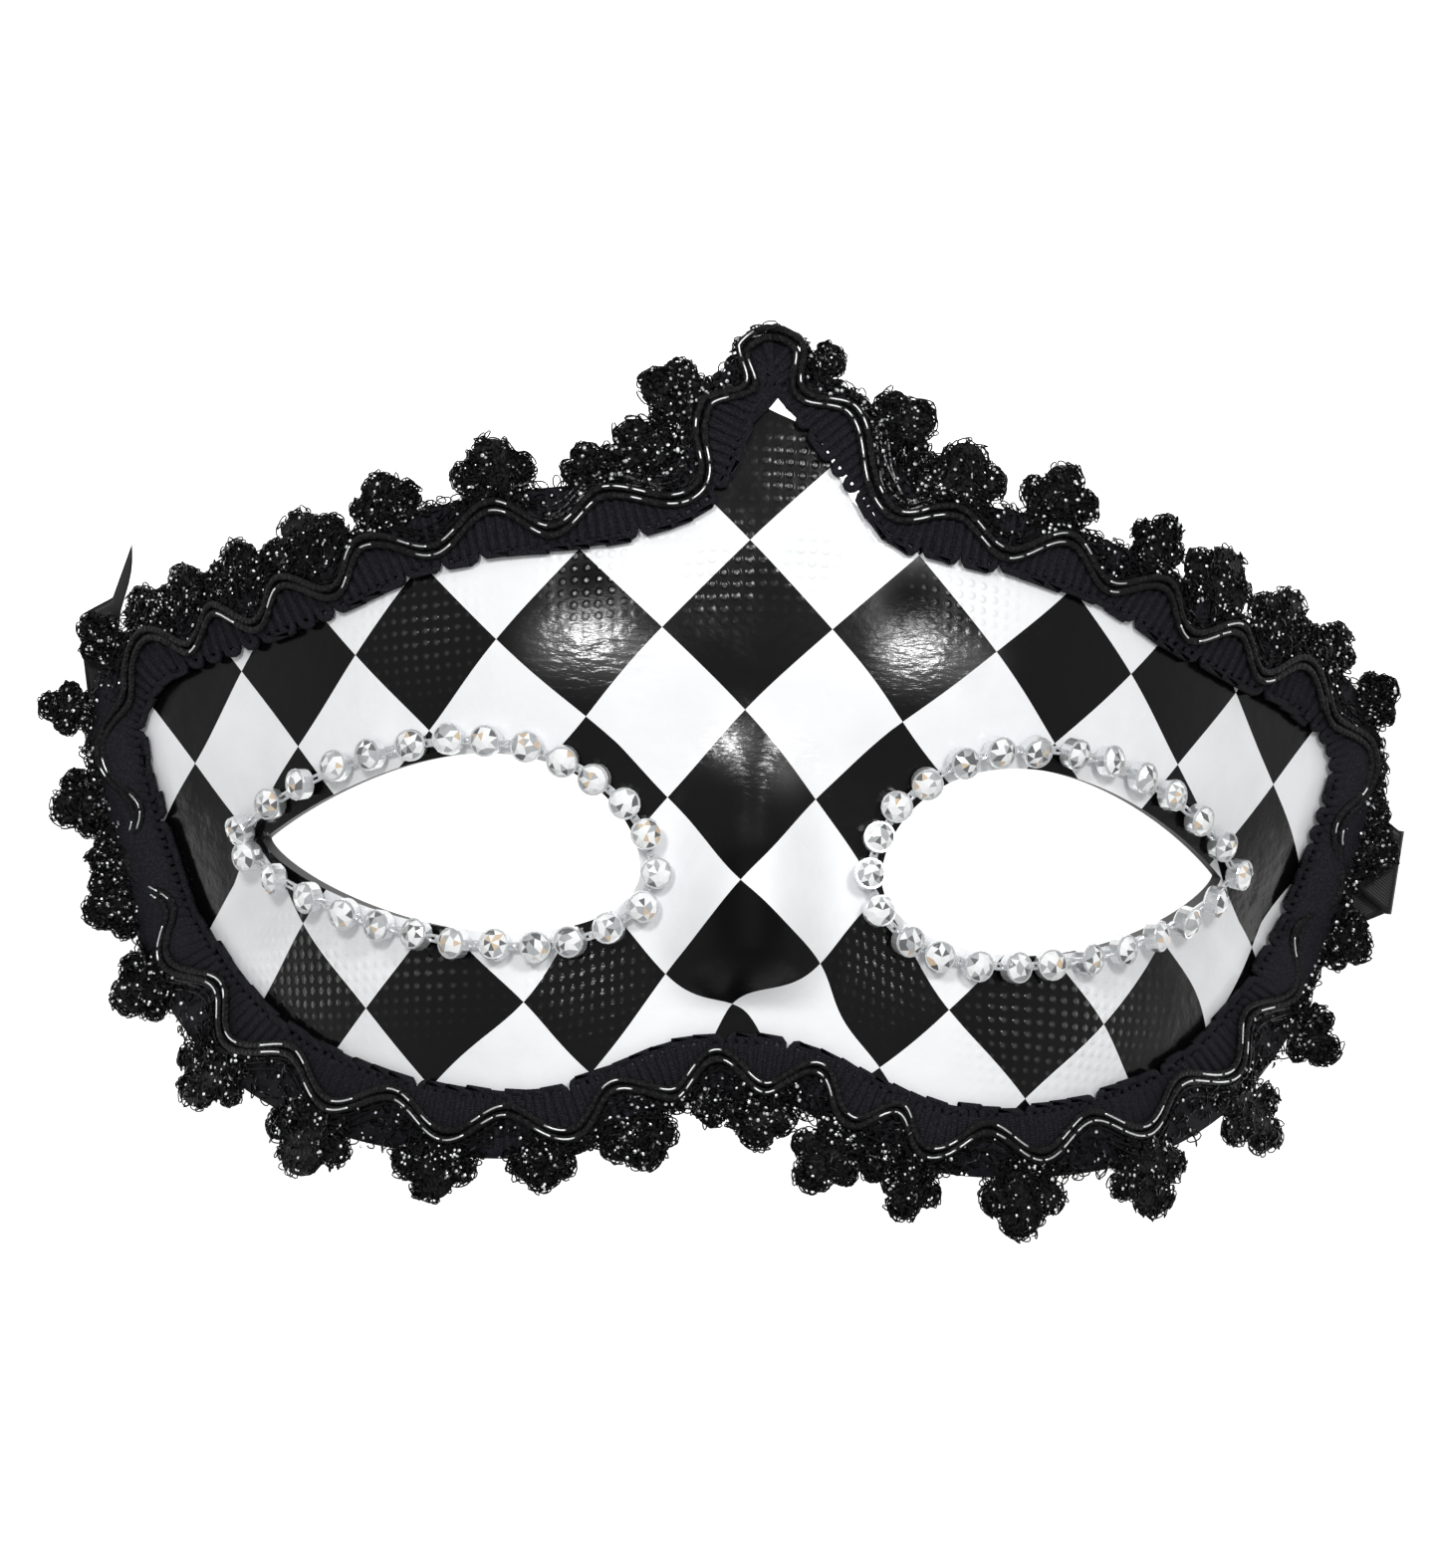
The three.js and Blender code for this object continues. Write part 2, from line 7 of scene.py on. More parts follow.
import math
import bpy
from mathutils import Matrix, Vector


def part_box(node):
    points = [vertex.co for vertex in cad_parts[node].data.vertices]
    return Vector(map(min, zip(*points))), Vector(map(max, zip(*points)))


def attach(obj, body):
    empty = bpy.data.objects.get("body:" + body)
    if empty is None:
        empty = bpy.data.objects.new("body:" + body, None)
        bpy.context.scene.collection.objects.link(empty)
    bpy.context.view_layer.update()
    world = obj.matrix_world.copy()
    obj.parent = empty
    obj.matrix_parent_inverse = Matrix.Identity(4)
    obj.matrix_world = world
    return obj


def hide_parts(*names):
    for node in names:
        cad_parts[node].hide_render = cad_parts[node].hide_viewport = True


bl_info = {
    "name": "Harlequin Eye Mask",
    "version": (1, 0, 0),
    "blender": (4, 5, 0),
    "location": "View3D > Sidebar > Eye Mask",
    "description": "Builds a carnival eye mask with lace braid, cut stones and satin ties",
    "category": "Add Mesh",
}

from types import SimpleNamespace
from typing import NamedTuple

import bmesh
import bpy
import numpy as np
from bpy.props import FloatProperty, FloatVectorProperty, IntProperty, PointerProperty
from mathutils import Matrix, Vector

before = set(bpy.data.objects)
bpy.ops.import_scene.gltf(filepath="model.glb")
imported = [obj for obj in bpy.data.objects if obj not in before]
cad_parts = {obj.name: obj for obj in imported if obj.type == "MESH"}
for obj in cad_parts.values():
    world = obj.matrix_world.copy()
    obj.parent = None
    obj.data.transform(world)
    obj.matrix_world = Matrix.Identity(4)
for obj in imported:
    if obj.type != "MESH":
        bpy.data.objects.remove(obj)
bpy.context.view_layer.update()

# Units and names
MM = 0.001
TURN = 2.0 * math.pi
PATTERN = "pattern"


class EdgeRow(NamedTuple):
    """A point of the shell's edge, and how far the braid, laid by hand, stands off it on each side."""

    x: float
    y: float
    right: tuple = (0.0, 0.0)
    left: tuple = (0.0, 0.0)


class EyeRow(NamedTuple):
    """An eye: its inner and outer corners, how far each lid bows, the stones round it, and how far the cut
    hole's outer corner and upper lid depart from that."""

    side: str
    sign: int
    inner_x: float
    inner_y: float
    outer_x: float
    outer_y: float
    rise: float
    fall: float
    stones: int
    corner_x: float
    corner_y: float
    lift: float


class SwellRow(NamedTuple):
    """A soft swelling of the face, on both sides of the nose."""

    height: float
    x: float
    y: float
    spread_x: float
    spread_y: float


class FanRow(NamedTuple):
    """A lace fan: place along the braid from the peak, reach past the band, width and lean in degrees."""

    at: float
    reach: float
    width: float
    lean: float


class PullRow(NamedTuple):
    """A place where the cloth was dragged as it was glued: where, how wide, and how far the print moved."""

    x: float
    y: float
    spread: float
    across: float
    upward: float


class SpotRow(NamedTuple):
    """A place on the face and how far round it something shows."""

    x: float
    y: float
    spread: float


class RingRow(NamedTuple):
    """A ring of a turned profile."""

    radius: float
    height: float


class LobeRow(NamedTuple):
    """A lobe of a fan: its place as shares of the fan's width and length, and its radius as a share of the
    width."""

    across: float
    outward: float
    radius: float


class HeapRow(NamedTuple):
    """Where thread lies on a fan: how many of its lobes, how near and far from a lobe's middle as shares of
    its radius, and how low and high over the pad."""

    lobes: int
    near: float
    far: float
    low: float
    high: float


class LampRow(NamedTuple):
    """A square light: its tilt from upright and its turn in degrees, power, side and distance in metres."""

    name: str
    tilt: float
    turn: float
    power: float
    side: float
    far: float


class TieRow(NamedTuple):
    """A tie's way over the surface: the glued end, the fold and the free end, with the depth of the notch
    cut into that end, its slant, how far it is drawn together and how far one edge is tucked in before it."""

    side: str
    glued: tuple
    fold: tuple
    end: tuple
    notch: float
    slant: float
    pinch: float
    waist: float


# Shell
WALL = 1.5
CROWN = 55.9
SIDE_HALF = 83.0
SIDE_TAPER = 8.2
TEMPLE_TOP = 14.5
TEMPLE_FOOT = -18.0
WRAP_BEND = 65.0
WRAP_POWER = 2.7
WRAP_SLOPE = 1.2
LEAN_START = 20.0
LEAN_RATE = 0.003
NOSE = SimpleNamespace(height=10.5, top=22.0, tip=-14.0, drop_from=-13.0, drop_to=-22.0)
NOSE_WIDTH = SimpleNamespace(slim=9.0, flare=4.5)
SWELLS = (
    SwellRow(1.8, 24.0, 23.5, 18.0, 10.0),
    SwellRow(1.8, 40.0, -23.0, 14.0, 8.0),
)
EDGE = (
    EdgeRow(0.0, 58.0, (0.2, 6.6)),
    EdgeRow(6.8, 54.4, (-0.6, 3.2), (-1.9, 0.8)),
    EdgeRow(11.3, 46.4, (2.9, 1.6), (-2.5, 0.4)),
    EdgeRow(19.5, 42.0, (-0.2, 0.4)),
    EdgeRow(34.0, 39.6),
    EdgeRow(46.0, 36.3),
    EdgeRow(56.5, 31.0),
    EdgeRow(67.8, 26.0),
    EdgeRow(78.0, 22.0),
    EdgeRow(83.0, 14.5),
    EdgeRow(81.0, 4.0),
    EdgeRow(76.4, -9.0),
    EdgeRow(70.6, -19.0),
    EdgeRow(60.6, -28.6),
    EdgeRow(46.3, -34.4),
    EdgeRow(28.5, -36.2),
    EdgeRow(17.0, -32.6),
    EdgeRow(9.0, -28.8),
    EdgeRow(0.0, -27.6),
)
TEMPLE_ROW = 10
EYES = (
    EyeRow("left", -1, 14.4, -3.8, 63.5, -1.4, 13.2, 9.6, 26, 0.7, -0.45, 0.8),
    EyeRow("right", 1, 17.4, -3.2, 63.0, -0.8, 14.4, 10.4, 25, 2.4, -1.3, 0.0),
)
LIDS = {"upper": (0.58, 0.85), "lower": (0.5, 0.75)}
HOLE_LIDS = {"upper": (0.55, 0.93), "lower": (0.5, 0.69)}

# Stones
STRING = SimpleNamespace(inner=2.0, outer=3.6, rise=2.3, fall=2.1, steps=720)
STONE_LIFT = 0.55

# Braid and lace
BAND = SimpleNamespace(inner=-3.2, outer=5.7)
GATHER = SimpleNamespace(inner=-2.8, outer=4.0, over=12.0)
WAVE = SimpleNamespace(swing=2.1, middle=1.7, edge=1.2)
CRESTS = {
    "top_right": (0.0, 13.0, 35.0, 50.0, 63.6, 76.1, 87.6, 100.0),
    "lower": (
        87.6, 102.1, 118.6, 133.1, 146.6, 160.6, 174.6, 188.6, 198.6, 212.0,
        -207.0, -192.9, -178.4, -163.9, -149.9, -137.1, -123.6, -109.1, -94.1, -85.1,
    ),
    "top_left": (-94.1, -85.1, -75.1, -63.1, -47.1, -32.6, -10.0, -0.2),
}
CORNER_AT = 92.0
JOIN_LAP = 0.5
FAN_ROOT = 4.9
SEAT_GAP = 0.35
LACE_FLOOR = 1.3
TIE_HUMP = SimpleNamespace(height=1.4, y=-3.0, spread=13.0)
FLOOR_SOFTNESS = 2.5
FANS = {
    "top_right": (
        FanRow(4.8, 0.8, 4.0, 0.0),
        FanRow(18.0, 6.4, 10.0, 6.0),
        FanRow(24.0, 3.0, 7.0, 0.0),
        FanRow(35.3, 7.4, 11.3, 0.0),
        FanRow(47.9, 7.9, 10.4, 0.0),
        FanRow(60.3, 7.3, 7.5, 6.0),
        FanRow(70.3, 7.6, 11.0, 8.0),
        FanRow(81.8, 6.9, 10.0, 8.0),
        FanRow(90.0, 5.6, 7.5, 10.0),
    ),
    "lower": (
        FanRow(96.8, 5.4, 7.5, 0.0),
        FanRow(107.3, 1.6, 4.0, 0.0),
        FanRow(112.0, 4.2, 8.0, 0.0),
        FanRow(123.8, 6.2, 8.0, 4.0),
        FanRow(135.4, 11.0, 8.4, 4.0),
        FanRow(147.6, 13.0, 9.8, 0.0),
        FanRow(161.3, 11.3, 11.0, 0.0),
        FanRow(176.7, 9.4, 11.3, 4.0),
        FanRow(188.5, 8.4, 7.4, 8.0),
        FanRow(193.0, 4.2, 5.0, 0.0),
        FanRow(198.4, 10.0, 9.3, 10.0),
        FanRow(212.0, 6.0, 9.0, 0.0),
        FanRow(-212.5, 3.2, 4.5, 0.0),
        FanRow(-200.3, 5.2, 9.8, 0.0),
        FanRow(-189.0, 4.2, 8.0, 0.0),
        FanRow(-177.0, 6.8, 10.4, -4.0),
        FanRow(-162.7, 9.7, 11.3, 0.0),
        FanRow(-150.4, 10.0, 9.8, 0.0),
        FanRow(-137.8, 9.3, 9.8, 4.0),
        FanRow(-127.0, 6.4, 9.8, -4.0),
        FanRow(-121.2, 4.0, 4.5, 0.0),
        FanRow(-113.8, 7.2, 9.0, -4.0),
        FanRow(-104.0, 7.6, 6.5, 0.0),
        FanRow(-98.0, 7.6, 6.5, 0.0),
    ),
    "top_left": (
        FanRow(-93.0, 4.2, 7.0, 0.0),
        FanRow(-88.6, 5.0, 7.5, 0.0),
        FanRow(-80.3, 5.8, 8.4, 8.0),
        FanRow(-70.2, 5.2, 11.3, 0.0),
        FanRow(-59.3, 5.8, 9.0, 0.0),
        FanRow(-46.3, 7.1, 10.6, 0.0),
        FanRow(-34.0, 5.0, 6.5, 0.0),
        FanRow(-25.5, 5.8, 11.0, 0.0),
        FanRow(-10.2, 7.6, 9.0, -4.0),
    ),
}

# Ties
TIES = (
    TieRow("left", (-66.0, -7.0), (-80.0, -7.8), (-86.6, 33.2), 2.8, 0.84, 0.28, 0.85),
    TieRow("right", (72.0, 14.0), (91.0, -0.5), (26.0, -29.5), 0.0, 0.0, 0.0, 0.0),
)
TIE_GLUE_GAP = 0.95
TIE_SOLID = 1.0
TIE_LAYER_GAP = 0.3
TIE_SOFTNESS = 0.6

# Photograph
PHOTO_HEIGHT_PX = 1575
PX_PER_MM = 7.6
FRONT_PLANE = 50.0
AIM = (-4.46, 8.06)
SENSOR = 36.0

SHELL_LOW, SHELL_HIGH = (np.array(corner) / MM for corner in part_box("shell"))
OFFSET = np.array([(SHELL_LOW[0] + SHELL_HIGH[0]) / 2.0, SHELL_HIGH[1] - EDGE[0].y, 0.0])


def to_frame(points):
    """Millimetres on the mask's plane to metres in the frame: shift to the shell's box, then scale."""
    return (np.asarray(points, float) + OFFSET) * MM


def from_frame(points):
    """Metres in the frame back to millimetres on the mask's plane."""
    return np.asarray(points, float) / MM - OFFSET


def linear(hex_text):
    """sRGB hex to linear red, green and blue."""
    parts = np.array([int(hex_text[i:i + 2], 16) for i in (1, 3, 5)]) / 255.0
    bright = ((parts + 0.055) / 1.055) ** 2.4
    return tuple(float(v) for v in np.where(parts <= 0.04045, parts / 12.92, bright))


# Curves and heights


def ease(t):
    """Smooth step: 3t² - 2t³ with t held between 0 and 1."""
    t = np.clip(t, 0.0, 1.0)
    return t * t * (3.0 - 2.0 * t)


def bell(t):
    """Bell curve: e to the power of minus t²."""
    return np.exp(-t * t)


def soft_max(a, b, soft):
    """The larger of two values, rounded over where they meet: half of their sum plus a hypotenuse."""
    return 0.5 * (a + b + np.hypot(a - b, soft))


def unit(v):
    """A vector divided by its length."""
    return v / np.maximum(np.linalg.norm(v, axis=-1, keepdims=True), 1e-12)


def nose_height(x, y):
    """A ridge with a squared cosine across it, which grows down to the tip and then drops."""
    growth = ease((NOSE.top - y) / (NOSE.top - NOSE.tip))
    drop = 1.0 - ease((NOSE.drop_from - y) / (NOSE.drop_from - NOSE.drop_to))
    half = NOSE_WIDTH.slim + NOSE_WIDTH.flare * growth
    across = np.minimum(1.0, np.abs(x) / half)
    return NOSE.height * growth * drop * np.cos(0.5 * math.pi * across) ** 2


def face_height(x, y):
    """Crown less a power curve across that runs straight past the bend, less a forehead lean, plus the nose
    and the swellings. The width is measured so that both temple edges lie at one height."""
    reach = SIDE_HALF - SIDE_TAPER * ease((TEMPLE_TOP - y) / (TEMPLE_TOP - TEMPLE_FOOT))
    across = np.abs(x) * SIDE_HALF / reach
    bent = np.minimum(across, WRAP_BEND)
    wrap = WRAP_SLOPE * WRAP_BEND * (bent / WRAP_BEND) ** WRAP_POWER / WRAP_POWER
    straight = WRAP_SLOPE * np.maximum(0.0, across - WRAP_BEND)
    lean = LEAN_RATE * np.maximum(0.0, y - LEAN_START) ** 2
    swell = sum(
        s.height * bell((np.abs(x) - s.x) / s.spread_x) * bell((y - s.y) / s.spread_y) for s in SWELLS
    )
    return CROWN - wrap - straight - lean + nose_height(x, y) + swell


def lace_height(x, y):
    """The face, softly held above the floor and over the folded ties."""
    floor = LACE_FLOOR + TIE_HUMP.height * bell((y - TIE_HUMP.y) / TIE_HUMP.spread)
    return soft_max(face_height(x, y), floor, FLOOR_SOFTNESS)


def up_from(height, x, y, step=0.25):
    """Unit normal of a height field, from its rise over a small step each way."""
    rise_x = (height(x + step, y) - height(x - step, y)) / (2.0 * step)
    rise_y = (height(x, y + step) - height(x, y - step)) / (2.0 * step)
    return unit(np.stack([-rise_x, -rise_y, np.ones_like(rise_x)], axis=-1))


def above(height, x, y, distance):
    """Point of a height field moved along its normal."""
    base = np.stack([x, y, height(x, y)], axis=-1)
    return base + up_from(height, x, y) * np.asarray(distance, float)[..., None]


def spline(points, closed, per_span=48):
    """Uniform Catmull-Rom curve: on each span, the cubic whose end slopes are half the chord between the
    neighbours. An open curve is carried on past its ends by a mirrored point."""
    p = np.asarray(points, float)
    if closed:
        before, after, following = np.roll(p, 1, 0), np.roll(p, -1, 0), np.roll(p, -2, 0)
    else:
        longer = np.vstack([2.0 * p[0] - p[1], p, 2.0 * p[-1] - p[-2]])
        before, p, after, following = longer[:-3], longer[1:-2], longer[2:-1], longer[3:]
    t = np.linspace(0.0, 1.0, per_span, endpoint=False)[None, :, None]
    start, stop = p[:, None], after[:, None]
    leave, arrive = (after - before)[:, None] / 2.0, (following - p)[:, None] / 2.0
    bend = (2.0 * t - 3.0) * t * t
    curve = start * (1.0 + bend) - stop * bend + leave * t * (t - 1.0) ** 2 + arrive * t * t * (t - 1.0)
    last = p[:1] if closed else after[-1:]
    return np.vstack([curve.reshape(-1, p.shape[1]), last])


def lengths(points):
    """Length along a line up to each of its points."""
    return np.concatenate([[0.0], np.cumsum(np.linalg.norm(np.diff(points, axis=0), axis=1))])


def along(points, at):
    """Points of a line at given lengths."""
    measured = lengths(points)
    return np.stack([np.interp(at, measured, points[:, k]) for k in range(points.shape[1])], axis=-1)


def mirrored(points):
    """A half outline followed by its mirror image, back to the start."""
    left = points[-2::-1] * np.array([-1.0, 1.0])
    return np.vstack([points, left])


SHELL_EDGE = spline(mirrored(np.array([(r.x, r.y) for r in EDGE])), closed=False)
HALF_EDGE = SHELL_EDGE[: len(SHELL_EDGE) // 2 + 1]
BRAID_RIGHT = [(r.x + r.right[0], r.y + r.right[1]) for r in EDGE]
BRAID_LEFT = [(-r.x - r.left[0], r.y + r.left[1]) for r in EDGE[-2:0:-1]]
BRAID_EDGE = spline(BRAID_RIGHT + BRAID_LEFT, closed=True)
BRAID_LENGTH = lengths(BRAID_EDGE)[-1]
STRETCHES = {
    "top_right": (-JOIN_LAP, CORNER_AT + JOIN_LAP),
    "lower": (CORNER_AT - JOIN_LAP, BRAID_LENGTH - CORNER_AT + JOIN_LAP),
    "top_left": (BRAID_LENGTH - CORNER_AT - JOIN_LAP, BRAID_LENGTH + JOIN_LAP),
}


def braid_frame(at):
    """Point of the braid's line at a length from the peak, with the directions along it and away from it."""
    at = np.mod(at, BRAID_LENGTH)
    step = 0.05
    point = along(BRAID_EDGE, at)
    ahead = along(BRAID_EDGE, np.mod(at + step, BRAID_LENGTH))
    behind = along(BRAID_EDGE, np.mod(at - step, BRAID_LENGTH))
    onward = unit(ahead - behind)
    return point, onward, np.stack([-onward[..., 1], onward[..., 0]], axis=-1)


def on_braid(at, out, height):
    """Point of the lace: along the braid, away from its line, and up from the face."""
    point, _, away = braid_frame(at)
    place = point + away * np.asarray(out, float)[..., None]
    return above(lace_height, place[..., 0], place[..., 1], SEAT_GAP + height)


def lace_up(points):
    """Unit normal of the lace's ground under given points."""
    return up_from(lace_height, points[..., 0], points[..., 1])


def lid(q, powers):
    """One lid: q to the inner power times (1 - q) to the outer power, scaled to a peak of one."""
    inner, outer = powers
    peak = inner / (inner + outer)
    return q ** inner * (1.0 - q) ** outer / (peak ** inner * (1.0 - peak) ** outer)


def eye_outline(eye, lids, turn):
    """Almond through both corners: the upper lid on the first half turn and the lower one on the second."""
    turn = np.mod(turn, TURN)
    q = np.clip(0.5 - 0.5 * np.cos(turn), 0.0, 1.0)
    chord = eye.inner_y + (eye.outer_y - eye.inner_y) * q
    upper, lower = eye.rise * lid(q, lids["upper"]), -eye.fall * lid(q, lids["lower"])
    bow = np.where(turn <= math.pi, upper, lower)
    return np.stack([eye.sign * (eye.inner_x + (eye.outer_x - eye.inner_x) * q), chord + bow], axis=-1)


# Meshes from arrays

MERGE = 0.001


def grid_faces(rows, columns, wrap_rows=False, wrap_columns=False):
    """Quads of a grid of points numbered row by row, joined round where it wraps."""
    index = np.arange(rows * columns).reshape(rows, columns)
    if wrap_rows:
        index = np.vstack([index, index[:1]])
    if wrap_columns:
        index = np.hstack([index, index[:, :1]])
    corners = (index[:-1, :-1], index[:-1, 1:], index[1:, 1:], index[1:, :-1])
    return np.stack(corners, axis=-1).reshape(-1, 4)


def copied(faces, count, stride):
    """The same faces for each of several equal runs of points."""
    return (faces[None] + stride * np.arange(count)[:, None, None]).reshape(-1, faces.shape[1])


def stacked(rows, around, count, closed=False):
    """Faces of several equal stacks of rings, each joined end to end or capped at both ends."""
    stride = rows * around
    ring = np.arange(around)[None]
    parts = [grid_faces(rows, around, closed, True)]
    if not closed:
        parts += [ring[:, ::-1], ring + stride - around]
    return [copied(part, count, stride) for part in parts]


class Stock:
    """Arrays gathered for one mesh: points, their place on a flat pattern, and faces with a material."""

    def __init__(self):
        self.points = []
        self.pattern = []
        self.faces = []
        self.count = 0

    def add(self, points, faces, material=0, pattern=None):
        """Takes points, groups of faces that number them from zero, a material and pattern places."""
        points = np.reshape(points, (-1, 3))
        flat = np.zeros((len(points), 2)) if pattern is None else np.reshape(pattern, (-1, 2))
        self.points.append(points)
        self.pattern.append(flat)
        self.faces.extend((part + self.count, material) for part in faces)
        self.count += len(points)

    def add_tubes(self, paths, up, width, height, sides, closed, material=0):
        """Cords along equal paths: at each point an ellipse, half as wide and high as given, spanned by the
        sideways direction (up crossed with the path) and the one over it. Open ends are capped."""
        count, steps = paths.shape[:2]
        ahead, behind = np.roll(paths, -1, axis=1), np.roll(paths, 1, axis=1)
        if not closed:
            ahead[:, -1], behind[:, 0] = paths[:, -1], paths[:, 0]
        onward = unit(ahead - behind)
        side = unit(np.cross(np.broadcast_to(up, paths.shape), onward))
        over = np.cross(onward, side)
        turn = np.arange(sides) * TURN / sides + math.pi / sides
        wide = np.broadcast_to(width, paths.shape[:2])[..., None, None] * np.cos(turn)[:, None]
        high = np.broadcast_to(height, paths.shape[:2])[..., None, None] * np.sin(turn)[:, None]
        points = paths[:, :, None] + side[:, :, None] * wide + over[:, :, None] * high
        far = np.cumsum(np.linalg.norm(paths - behind, axis=-1), axis=1)
        round_share = np.abs(2.0 * np.arange(sides) / sides - 1.0)
        pattern = np.stack(np.broadcast_arrays(far[:, :, None], round_share), axis=-1)
        self.add(points, stacked(steps, sides, count, closed), material, pattern)

    def make(self, name, materials, smooth=True, merge=False, sharp=None):
        """Puts the arrays into a mesh. Merging joins doubled points and turns the faces outwards, and sharp
        is the angle past which an edge is creased."""
        points, pattern = np.concatenate(self.points), np.concatenate(self.pattern)
        corners = np.concatenate([part.ravel() for part, _ in self.faces]).astype(np.int32)
        sizes = np.concatenate([np.full(len(part), part.shape[1]) for part, _ in self.faces])
        slots = np.concatenate([np.full(len(part), slot) for part, slot in self.faces])
        mesh = bpy.data.meshes.new(name)
        mesh.vertices.add(len(points))
        mesh.vertices.foreach_set("co", to_frame(points).astype(np.float32).ravel())
        mesh.loops.add(len(corners))
        mesh.loops.foreach_set("vertex_index", corners)
        mesh.polygons.add(len(sizes))
        mesh.polygons.foreach_set("loop_start", (np.cumsum(sizes) - sizes).astype(np.int32))
        mesh.polygons.foreach_set("material_index", slots.astype(np.int32))
        mesh.polygons.foreach_set("use_smooth", np.full(len(sizes), smooth))
        layer = mesh.uv_layers.new(name=PATTERN)
        layer.data.foreach_set("uv", pattern[corners].astype(np.float32).ravel())
        for material in materials:
            mesh.materials.append(material)
        mesh.update(calc_edges=True)
        if merge:
            work = bmesh.new()
            work.from_mesh(mesh)
            bmesh.ops.remove_doubles(work, verts=work.verts, dist=MERGE * MM)
            bmesh.ops.recalc_face_normals(work, faces=work.faces)
            work.to_mesh(mesh)
            work.free()
        if sharp is not None:
            mesh.set_sharp_from_angle(angle=sharp)
        mesh.validate()
        piece = bpy.data.objects.new(name, mesh)
        bpy.context.scene.collection.objects.link(piece)
        return piece


def dress(piece, slot, *nodes):
    """Sets a finished piece on the mask's one body, in place of its plain solids."""
    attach(piece, "root")
    if nodes:
        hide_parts(*nodes)


# Materials

SPOT = ("spot", "TexCoord")
PLACE = ("place", "UVMap", {"uv_map": PATTERN})
WAVE_RADIANS = 20.0


def add_node(tree, name, kind, settings=None, links=None):
    """Adds a named node, sets its options and socket values by name or number, and links sockets into it. A
    link such as fibre.Fac comes from the output Fac of the node fibre, and fibre.0 from its first output."""
    node = tree.nodes.new(f"ShaderNode{kind}")
    node.name = name
    for key, value in (settings or {}).items():
        if isinstance(key, str) and hasattr(node, key):
            setattr(node, key, value)
        else:
            node.inputs[key].default_value = value
    for key, source in (links or {}).items():
        origin, output = source.split(".")
        outputs = tree.nodes[origin].outputs
        tree.links.new(outputs[int(output) if output.isdigit() else output], node.inputs[key])


def new_material(name, *nodes):
    """A material made of nodes, the last of which is its surface."""
    material = bpy.data.materials.new(name)
    material.use_nodes = True
    tree = material.node_tree
    tree.nodes.clear()
    for node in nodes:
        add_node(tree, *node)
    add_node(tree, "output", "OutputMaterial", links={"Surface": f"{nodes[-1][0]}.0"})
    return material


def solid(colour, share=1.0):
    """A colour brought up or down by a share, with full cover."""
    return (*(min(1.0, share * v) for v in colour), 1.0)


def grain_of(size):
    """Scale of a pattern whose grains are so many millimetres across."""
    return 1.0 / (size * MM)


def bands_of(pitch):
    """Scale of a wave whose bands are so many millimetres apart on the flat pattern: a full turn, shared
    out by the radians that the wave turns in one unit."""
    return TURN / (WAVE_RADIANS * pitch)


def grained_material(name, grain, detail, values, gloss=None, relief=None, tones=None):
    """A material with one noise of a given grain in millimetres. Where they are given, gloss is a share of
    the noise and the roughness at both its ends, relief a bump's strength and height in millimetres, and
    tones the colours between which the grains lie."""
    noise = {"Scale": grain_of(grain), "Detail": detail}
    nodes = [SPOT, ("grain", "TexNoise", noise, {"Vector": "spot.Object"})]
    links = {}
    if gloss:
        ends = dict(zip(("From Min", "From Max", "To Min", "To Max"), gloss))
        nodes.append(("gloss", "MapRange", ends, {"Value": "grain.Fac"}))
        links["Roughness"] = "gloss.0"
    if relief:
        raised = {"Strength": relief[0], "Distance": relief[1] * MM}
        nodes.append(("relief", "Bump", raised, {"Height": "grain.Fac"}))
        links["Normal"] = "relief.0"
    if tones:
        nodes.append(("tone", "Mix", {"data_type": "RGBA", 6: tones[0], 7: tones[1]}, {0: "grain.Fac"}))
        links["Base Color"] = "tone.2"
    return new_material(name, *nodes, ("surface", "BsdfPrincipled", values, links))


def moulded_backing(settings):
    """Polystyrene, vacuum formed: a plain dark inside with a fine satin grain."""
    look = {"Roughness": 0.5, "IOR": 1.59}
    tones = solid(settings.backing), solid(settings.backing, 1.5)
    return grained_material("moulded_backing", 0.8, 4.0, look, relief=(0.3, 0.08), tones=tones)


def tinsel_film(settings):
    """Slit polyester film, lacquered black and looped: almost black, with a hard glint on each turn."""
    look = {"Base Color": solid(settings.film), "IOR": 1.5, "Specular IOR Level": 0.15}
    return grained_material("tinsel_film", 0.5, 2.0, look, gloss=(0.35, 0.65, 0.08, 0.34), relief=(0.5, 0.06))


def painted_glint_film(settings):
    """Slit polyester film, metallised and painted silver where a strand turns over: a painted highlight on
    the black film, softly creased."""
    look = {"Base Color": solid(settings.silver), "Metallic": 1.0, "Roughness": 0.42}
    return grained_material("painted_glint_film", 0.4, 1.0, look, relief=(0.3, 0.05))


def foiled_acrylic_painted_light(name, colour):
    """Acrylic, cut and foiled behind: a clear glossy facet whose colour is painted light, one tone of painted
    highlight, half-light, shade or warm reflection, with light handling marks."""
    look = {"Base Color": solid(colour), "Metallic": 0.15, "IOR": 1.49}
    return grained_material(f"foiled_acrylic_painted_light_{name}", 0.7, 2.0, look, gloss=(0.4, 0.8, 0.04, 0.14))


def silvered_plastic(settings):
    """Clear plastic with a thin silver skin: pale and glossy, a little hazy where it was handled."""
    look = {"Base Color": solid(settings.silver), "Metallic": 0.7}
    return grained_material("silvered_plastic", 1.1, 3.0, look, gloss=(0.3, 0.7, 0.1, 0.35))


